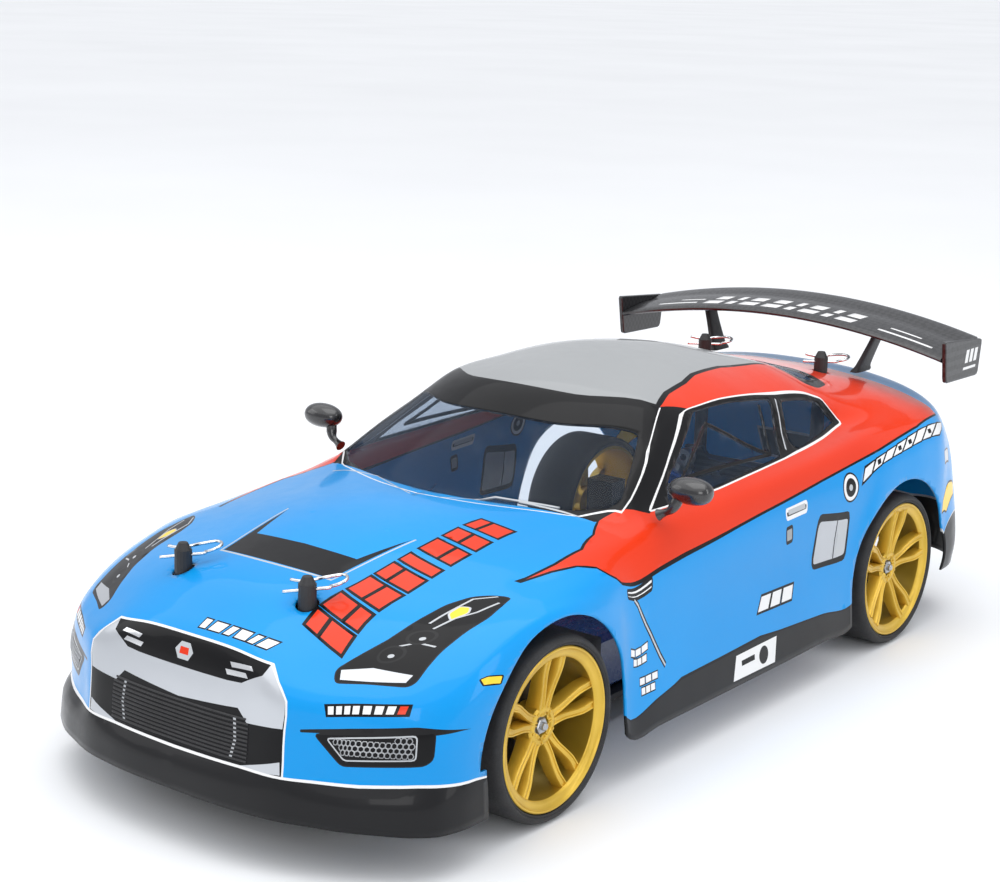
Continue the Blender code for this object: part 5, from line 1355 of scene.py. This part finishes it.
def make_stripes(white):
    """Thin film on the blade, in four rows of faces to a mark."""
    marks = Builder()
    for x0, width, s0, s1, slant in wing_marks():
        corners, steps = [], max(3, int(width / 2))
        for up in range(5):
            along = s0 + (s1 - s0) * up / 4
            for k in range(steps + 1):
                x = x0 + width * k / steps + slant * (along - s0) / max(0.01, s1 - s0)
                corners.append((x, WING_FRONT + WING_CHORD * along, wing_top(x, along) + 0.06))
        row = steps + 1
        marks.add(corners, [(a * row + b, a * row + b + 1, (a + 1) * row + b + 1, (a + 1) * row + b)
                            for a in range(4) for b in range(steps)])
    thicken(new_piece("wing_stripes", mesh_of("wing stripes", marks.points, marks.faces), "shell", white), 0.05)


def superellipse(x, y, half_x, half_y):
    """Ring of a rounded oblong about x and y."""
    return [(x + half_x * math.copysign(abs(cos) ** 0.5, cos), y + half_y * math.copysign(abs(sin) ** 0.5, sin))
            for cos, sin in turns(20)]


def make_wing(finishes, white):
    make_blade(finishes["wing"])
    make_stripes(white)
    middle_y, middle_z = END_MIDDLE
    for name, side in SIDES.items():
        plate = Builder()
        plate.rings([[(side * x, y + math.copysign(inset, middle_y - y), z + math.copysign(inset, middle_z - z))
                      for y, z in END_OUTLINE]
                     for x, inset in ((88.0, 0.35), (88.35, 0.0), (89.85, 0.0), (90.2, 0.35))])
        built(plate, f"wing_end_{name}", "shell", finishes["wing"], 30, f"wing_endplate_{name}")
        badge = Builder()
        for y0, y1, z0, z1, slant in END_MARKS:
            corners = [(y0, z0), (y1, z0), (y1 + slant, z1), (y0 + slant, z1)]
            badge.rings([[(side * x, y, z) for y, z in corners] for x in (90.15, 90.24)])
        built(badge, f"wing_end_mark_{name}", "shell", white, smooth=False)
        low, high = node_box(f"wing_strut_{name}")
        foot_z, top_z = low.z + 0.05, high.z - 0.05
        stay = Builder()
        stay.rings([[(x, y, foot_z + (top_z - foot_z) * along) for x, y in
                     superellipse(side * (39.5 + 7.5 * along), 183.0 + 2.5 * along, half_x, half_y)]
                    for along, half_y, half_x in STAY_LINE])
        built(stay, f"wing_stay_{name}", "shell", finishes["nylon"], 40, f"wing_strut_{name}")


def wing_marks():
    """Generic slanted bars along the blade: start, width, low and high share of the chord, slant."""
    found = [(-70.0, 22.0, 0.16, 0.20, 0.0), (52.0, 28.0, 0.16, 0.20, 0.0), (-60.0, 14.0, 0.3, 0.33, 0.0),
             (56.0, 16.0, 0.3, 0.33, 0.0)]
    x = -44.0
    for width in (9, 4, 9, 9, 4, 9, 4, 9):
        found.append((x, width, 0.14, 0.26, 1.5))
        found.append((x + 3.2, width * 0.8, 0.32, 0.46, 1.5))
        x += width + 3.6
    return found


# ---- mirrors ------------------------------------------------------------------------------------
MIRROR_STATIONS = 24
GLASS_FACE = 4.2  # behind the mirror's middle, where its back is flattened


def make_mirrors(finishes):
    glass = finish("mirror glass", (0.55, 0.57, 0.6), (0.68, 0.7, 0.73), (0.05, 0.1), 1.0, grain=0.2,
                   bump=0.002)
    for name, side in SIDES.items():
        low, high = node_box(f"mirror_{name}")
        if side < 0:
            low.x, high.x = -high.x, -low.x
        head = Builder()
        cx, cy, cz = high.x - 9.05, (low.y + high.y) / 2, high.z - 5.75
        rings = []
        for i in range(MIRROR_STATIONS + 1):
            t = i / MIRROR_STATIONS
            along = 9.0 * math.cos(math.pi * (1 - t))
            girth = math.sin(math.pi * t) ** 0.75 if 0 < t < 1 else 0.02
            girth = max(girth * (0.9 + 0.12 * t), 0.03)
            ring = []
            for cos, sin in turns(28):
                dy, dz = 6.3 * girth * cos, 5.4 * girth * sin
                if dy > GLASS_FACE:
                    dy = GLASS_FACE + (dy - GLASS_FACE) * 0.25
                ring.append((side * (cx + along), cy + dy, cz + dz))
            rings.append(ring)
        head.rings(rings)
        foot = Vector((side * (low.x + 2.4), cy - 2.6, low.z + 2.2))
        neck = Vector((side * (cx - 4.5), cy, cz - 2.2))
        middle = foot.lerp(neck, 0.55) + Vector((side * 1.4, -0.6, -1.4))
        path = curve_through([foot, foot.lerp(middle, 0.5) + Vector((0, 0, -0.3)), middle, neck], 6)
        head.tube(path, [2.3 - 0.9 * math.sin(math.pi * min(1, k / 14)) for k in range(len(path))], 16)
        built(head, f"door_mirror_{name}", "shell", finishes["gloss_black"], 50, f"mirror_{name}")
        pane = Builder()
        pane.rings([[(side * (cx + 0.5 + 6.4 * scale * cos), cy + y, cz + 3.5 * scale * sin)
                     for cos, sin in turns(28)] for y, scale in ((4.35, 1.0), (4.75, 0.96))])
        built(pane, f"mirror_glass_{name}", "shell", glass, smooth=False)


# ---- nose details -------------------------------------------------------------------------------
def on_shell(flat, lift):
    """Places on the shell for flat places, raised a little off it."""
    flat = np.asarray(flat, float)
    here = sheet_to_shell(flat)
    along, across = (sheet_to_shell(flat + step) - sheet_to_shell(flat - step)
                     for step in (np.array([0.5, 0.0]), np.array([0.0, 0.5])))
    normal = np.cross(along, across)
    normal /= np.linalg.norm(normal, axis=1, keepdims=True) + TINY
    normal[(normal * (here - SHELL_MIDDLE)).sum(axis=1) < 0] *= -1
    return here + normal * lift


SLATS, SLAT_REACH = 11, 26.5
CELL = 1.9  # across the flats of the lamp mesh, from one cell to the next


def make_grille(tree, finish_slat):
    lines = []
    top, low = to_sheet((0, -223.1, 49.5))[0], to_sheet((0, -224.8, 35.5))[0]
    for k in range(SLATS):
        u = top + (low - top) * k / (SLATS - 1)
        spots = [(u, v) for v in np.linspace(0, SLAT_REACH if k else SLAT_REACH - 1.5, 24)]
        half = on_shell(spots, -0.05)
        lines.append([(-x, y, z) for x, y, z in half[:0:-1]] + [tuple(p) for p in half])
    mesh = grown_mesh("grille slats", tree, lines_mesh("grille lines", lines), Radius=0.42 * MM, Sides=6,
                      Finish=finish_slat)
    new_piece("grille_slats", mesh, "shell", finish_slat)


def make_lamp_mesh(tree, finish_mesh):
    """Hexagons of wire that lie wholly inside the fog lamps' outline."""
    outline = traced(FOG_MESH)
    centre = (sum(p[0] for p in outline) / 4, sum(p[1] for p in outline) / 4)
    lines = []
    for i in range(-9, 10):
        for j in range(-14, 15):
            u = centre[0] + i * CELL * 0.87
            v = centre[1] + (j + (0.5 if i % 2 else 0)) * CELL
            ring = [(u + CELL * 0.56 * sin, v + CELL * 0.56 * cos) for cos, sin in turns(6)]
            ring.append(ring[0])
            if inside(np.array(ring), grown(outline, -0.2)).all():
                spots = on_shell(ring, 0.05)
                lines += [[tuple(p) for p in spots], [(-x, y, z) for x, y, z in spots]]
    mesh = grown_mesh("fog lamp mesh", tree, lines_mesh("fog lines", lines), Radius=0.2 * MM, Sides=4,
                      Finish=finish_mesh)
    new_piece("fog_lamp_mesh", mesh, "shell", finish_mesh)


# ---- clips --------------------------------------------------------------------------------------
CLIP_TILT = {"front": 7.0, "rear": 0.0}  # degrees
CLIP_WIRE, POST_RADIUS = 0.62, 3.2


def make_clips(finishes):
    """Hairpins of spring wire: one leg through the post, the other round it, a loop to pull."""
    for end, degrees in CLIP_TILT.items():
        tilt = math.radians(degrees)
        along = Vector((0.8 * math.cos(tilt), 0.6 * math.cos(tilt), math.sin(tilt)))
        across, up = Vector((-0.6, 0.8, 0)), Vector((0, 0, 1))
        outer = POST_RADIUS + CLIP_WIRE + 0.33
        route = [(-8.4, 0, 0), (-4, 0, 0), (0, 0, 0), (4, 0, 0), (7.5, 0, 0)]
        route += [(10.5 + 3 * math.sin(a), -3 * math.cos(a) + 3, 2.4 * math.sin(math.pi * i / 16))
                  for i, a in ((i, math.radians(-60 + 30 * i)) for i in range(9))]
        route += [(6.0, outer + 0.6, 2.4), (3.4, outer + 0.9, 2.0), (0, outer + 0.4, 1.6),
                  (-3.4, outer + 0.9, 1.8),
                  (-6.4, outer + 2.2, 2.2)]
        for name in SIDES:
            low, high = node_box(f"body_clip_{end}_{name}")
            made = curve_through([along * u + across * v + up * w for u, v, w in route], 5)
            tube = Builder()
            tube.tube(made, CLIP_WIRE, 10)
            points = np.array(tube.points)
            shift = np.array((low + high) / 2) - (points.min(axis=0) + points.max(axis=0)) / 2
            tube.points = [tuple(p) for p in points + shift]
            built(tube, f"hairpin_{end}_{name}", f"clip_{end}_{name}", finishes["wire"],
                  node=f"body_clip_{end}_{name}")


# ---- chassis ------------------------------------------------------------------------------------
def make_bumper(foam):
    """Foam block with a rounded outline and softened edges, in the nose."""
    low, high = node_box("front_bumper")
    front, back = low.y, high.y
    half = [(46, back - 0.1), (57.8, back - 8), (54, front + 10), (36, front + 0.3)]
    outline = rounded(half + [(-x, y) for x, y in reversed(half)], 7.0, 6)
    height = high.z - low.z
    rings = []
    for up, inset in ((0.0, 1.8), (0.02, 0.8), (0.05, 0.2), (0.09, 0.0), (0.35, 0.35), (0.5, 0.45), (0.65, 0.35),
                      (0.91, 0.0), (0.95, 0.2), (0.98, 0.8), (1.0, 1.8)):
        rings.append([(x, y, low.z + 0.05 + (height - 0.1) * up) for x, y in grown(outline, -inset)])
    block = Builder()
    block.rings(rings)
    piece = built(block, "foam_bumper", "chassis", foam, 40, "front_bumper")


def make_springs(tree, coil_finish):
    for end, axle_y in AXLES.items():
        for name, side in SIDES.items():
            y = axle_y + math.copysign(11.8, axle_y)
            top, foot = Vector((side * 30, y, 64)), Vector((side * 46, y, 25))
            line = (foot - top).normalized()
            start, stop = top + line * 11.5, foot - line * 7.2
            ring = Builder()
            ring.turned([(-3.8, 5.6), (-3.8, 7.7), (-3.4, 8.1), (1.7, 8.1), (2.0, 7.8), (2.0, 7.4), (-3.0, 7.4),
                         (-3.0, 5.6)], start, line, 40)
            built(ring, f"spring_collar_{end}_{name}", f"shock_body_{end}_{name}", coil_finish, 30)
            mesh = grown_mesh("spring", tree, lines_mesh("seat", [[(0, 0, 0)]]), Turns=5.0,
                              Coil_Radius=6.5 * MM, Height=(stop - start).length * MM,
                              Wire_Radius=0.65 * MM, Finish=coil_finish)
            turn = line.to_track_quat("Z", "Y").to_matrix().to_4x4()
            place = Vector((start.x, start.y + AXLE_SHIFT, start.z)) * MM
            mesh.transform(Matrix.Translation(place) @ turn)
            new_piece(f"spring_{end}_{name}", mesh, f"shock_rod_{end}_{name}", coil_finish)


def make_motor_details(finishes):
    """End bell with its bearing, bands round the can, and cooling ribs."""
    low, high = node_box("motor")
    middle = (low + high) / 2
    front, back, centre, axis = low.y, high.y, (middle.x, 0, middle.z), (0, 1, 0)
    bell = Builder()
    bell.turned([(front - 3.2, 3.0), (front - 3.2, 14.5), (front - 2.4, 16.4), (front - 0.2, 17.0),
                 (front - 0.2, 3.0)], centre, axis, 48)
    bell.turned([(front - 5.0, 0.05), (front - 5.0, 2.6), (front - 3.0, 3.2), (front - 3.0, 0.05)], centre,
                axis, 24)
    built(bell, "motor_end_bell", "chassis", finishes["nylon"], 35)
    bands = Builder()
    for y in (front + 3, back - 6, back - 4):
        bands.turned([(y, 17.7), (y, 17.95), (y + 0.9, 17.95), (y + 0.9, 17.7)], centre, axis, 64)
    for k in range(9):
        angle = math.radians(-20 + 27.5 * k)
        spot = middle + Vector((math.cos(angle), 0, math.sin(angle))) * 17.75
        bands.tube([spot - Vector((0, 15, 0)), spot + Vector((0, 13, 0))], 0.55, 8)
    built(bands, "motor_bands", "chassis", finishes["aluminium"], 35)
    return front


def make_controller(finish_fins):
    low, high = node_box("speed_controller")
    fins = Builder()
    for k in range(9):
        x = low.x + 4 + k * (high.x - low.x - 8) / 8
        fins.box((x - 0.5, low.y + 3, high.z + 0.1), (x + 0.5, high.y - 8, high.z + 5.5), 0.2, 1)
    fins.box((low.x + 3, low.y + 3, high.z - 0.2), (high.x - 3, high.y - 8, high.z + 0.9), 0.2, 1)
    built(fins, "controller_fins", "chassis", finish_fins, smooth=False)
    return low.y, high.y


def make_receiver(finish_case):
    receiver = Builder()
    receiver.box((-46, -52, 12), (-22, -31, 23), 1.2)
    receiver.box((-43, -50, 22.8), (-25, -46, 25.5), 0.3)
    stub = curve_through([(-24, -33, 22), (-22, -30, 27), (-21.5, -29, 36), (-21.5, -29, 48)], 8)
    receiver.tube(stub, 0.9, 10)
    built(receiver, "receiver", "chassis", finish_case, 35)


def make_electrics(finishes):
    """Motor, controller and receiver details, the wires between them, the plug and the straps."""
    red_skin = finish("red wire skin", (0.45, 0.01, 0.008), (0.6, 0.02, 0.015), (0.35, 0.5), grain=0.8, bump=0.01)
    black_skin = finish("black wire skin", (0.012, 0.012, 0.013), (0.02, 0.02, 0.022), (0.4, 0.55), grain=0.8,
                        bump=0.01)
    plug_yellow = finish("yellow plug", (0.75, 0.5, 0.03), (0.85, 0.6, 0.06), (0.4, 0.5), grain=0.8, bump=0.01)
    bell = make_motor_details(finishes)
    front, back = make_controller(finishes["aluminium"])
    make_receiver(finishes["nylon"])
    for name, skin, shift in (("red_wires", red_skin, 0.0), ("black_wires", black_skin, 3.4)):
        wires = Builder()
        for radius, path in (
                (1.3, ((-18 - shift, back - 1, 27), (-17 - shift, back + 2.5, 32), (-20 - shift, bell - 5, 40),
                       (-22 - shift, bell - 3.4, 36 + shift))),
                (1.5, ((-16, front + 4 + shift, 26), (-10, front + 3 + shift, 33), (-3, front - 4 + shift, 38),
                       (4, front - 8 + shift, 36.5), (8, front - 9 + shift, 38))),
                (1.5, ((20, -82 - shift * 0.4, 30), (17, -84, 36), (13, -74, 39 + shift * 0.3),
                       (12, -55 + shift, 39.4), (10, front - 9 + shift, 38.4)))):
            wires.tube(curve_through(path, 10), radius, 12)
        built(wires, name, "chassis", skin)
    plug = Builder()
    plug.box((5.5, front - 13, 36.6), (14.5, front - 2.5, 41.6), 0.8)
    built(plug, "battery_plug", "chassis", plug_yellow)
    band = Builder()
    low, high = node_box("battery")
    for y in (low.y + 28, high.y - 34):
        band.box((low.x - 0.5, y, low.z + 0.4), (high.x + 0.5, y + 11, high.z + 0.5), 0.5)
    built(band, "battery_straps", "chassis", finishes["nylon"], 35)


# height, way, and places of the screws that face it
SCREWS = (
    (8.75, (0, 0, -1), ((16, 147), (-16, 147), (16, 112), (-16, 112), (16, -147), (-16, -147), (16, -112),
                        (-16, -112), (25, -178), (-25, -178), (-27, 40), (-27, 58), (40, -60), (40, 40))),
    (59.5, (0, 0, 1), ((9, 136), (-9, 136), (9, -127), (-9, -127))),
    (36.3, (0, 0, 1), ((-46, -83), (-46, -67), (-14, -83), (-14, -67))),
)


def make_screws(tree, finishes):
    spots = [((x, y, z), way) for z, way, places in SCREWS for x, y in places]
    place_screws("chassis_screws", "chassis", tree, finishes["steel"], spots, 2.3, 1.3)


# ---- build --------------------------------------------------------------------------------------
def shell_paints():
    """Paints in the order of the colour numbers."""
    return [
        shell_paint("azure paint", (0.001, 0.245, 0.62), (0.002, 0.285, 0.70)),
        shell_paint("orange red paint", (0.64, 0.028, 0.004), (0.72, 0.040, 0.007)),
        shell_paint("light grey paint", (0.29, 0.30, 0.305), (0.33, 0.34, 0.345)),
        shell_paint("black paint", (0.002, 0.002, 0.0025), (0.005, 0.005, 0.006), coat=0.35),
        shell_paint("white paint", (0.72, 0.72, 0.72), (0.79, 0.79, 0.79)),
        shell_paint("silver paint", (0.42, 0.44, 0.47), (0.56, 0.58, 0.61), 0.5),
        shell_paint("charcoal paint", (0.009, 0.009, 0.010), (0.016, 0.016, 0.017), coat=0.35),
        shell_paint("amber lens", (0.85, 0.52, 0.02), (0.95, 0.66, 0.05)),
        shell_paint("bright foil", (0.72, 0.73, 0.75), (0.86, 0.87, 0.88), 0.9, (0.12, 0.2)),
        shell_paint("deep red lens", (0.30, 0.008, 0.008), (0.42, 0.015, 0.012)),
        shell_paint("pale grey line", (0.40, 0.42, 0.44), (0.52, 0.54, 0.56)),
    ]


def dress_frame():
    """Materials for the CAD nodes that stay."""
    slots = {
        "gloss_black": finish("gloss black moulding", (0.006, 0.006, 0.007), (0.012, 0.012, 0.013), (0.22, 0.34),
                              coat=0.7),
        "nylon": finish("black nylon", (0.012, 0.012, 0.013), (0.022, 0.022, 0.024), (0.42, 0.6), grain=1.2,
                        bump=0.03),
        "carbon": woven_carbon("carbon plate"),
        "foam": finish("bumper foam", (0.02, 0.02, 0.022), (0.045, 0.045, 0.048), (0.85, 0.98), grain=1.6,
                       bump=0.25),
        "battery_wrap": finish("battery wrap", (0.02, 0.05, 0.16), (0.03, 0.07, 0.21), (0.2, 0.34), grain=0.3,
                               coat=0.5),
        "steel": finish("turned steel", (0.36, 0.37, 0.38), (0.5, 0.51, 0.52), (0.25, 0.42), 1.0, grain=1.0,
                        bump=0.006),
        "aluminium": finish("anodised aluminium", (0.42, 0.43, 0.45), (0.58, 0.59, 0.6), (0.28, 0.42), 1.0,
                            grain=1.0),
        "brass": finish("brass", (0.55, 0.38, 0.12), (0.72, 0.52, 0.2), (0.25, 0.4), 1.0, grain=0.9),
        "wire": finish("bright wire", (0.62, 0.63, 0.64), (0.8, 0.81, 0.82), (0.14, 0.26), 1.0, grain=1.4,
                       bump=0.004),
        "gold": finish("satin gold", (0.58, 0.37, 0.035), (0.72, 0.47, 0.055), (0.32, 0.44), 0.6, grain=0.8,
                       bump=0.006, coat=0.25, coat_rough=0.2),
        "rubber": finish("tyre rubber", (0.010, 0.010, 0.011), (0.022, 0.022, 0.023), (0.55, 0.75), grain=1.4,
                         bump=0.03),
    }
    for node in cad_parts.values():
        for slot in node.material_slots:
            key = slot.material.name.split(".")[0] if slot.material else ""
            if key in slots:
                slot.material = slots[key]
    slots["wing"] = woven_carbon("wing carbon", 2.2, (0.005, 0.005, 0.006), (0.022, 0.022, 0.024), 0.35)
    return slots


set_camera()
set_studio()
finishes = dress_frame()
paints = shell_paints()
make_shell(paints, clear_sheet("clear shell"))
bars, screws, coils = bars_tree(), screw_tree(), coil_tree()
for end, axle_y in AXLES.items():
    for name, side in SIDES.items():
        make_wheel(end, axle_y, name, side, finishes)
make_wing(finishes, paints[WHITE])
make_mirrors(finishes)
make_grille(bars, finishes["nylon"])
make_lamp_mesh(bars, finishes["aluminium"])
make_clips(finishes)
spring_blue = finish("blue spring", (0.01, 0.08, 0.35), (0.02, 0.12, 0.45), (0.3, 0.42), 0.3, grain=1.0,
                     bump=0.006)
make_springs(coils, spring_blue)
make_bumper(finishes["foam"])
make_electrics(finishes)
make_screws(screws, finishes)
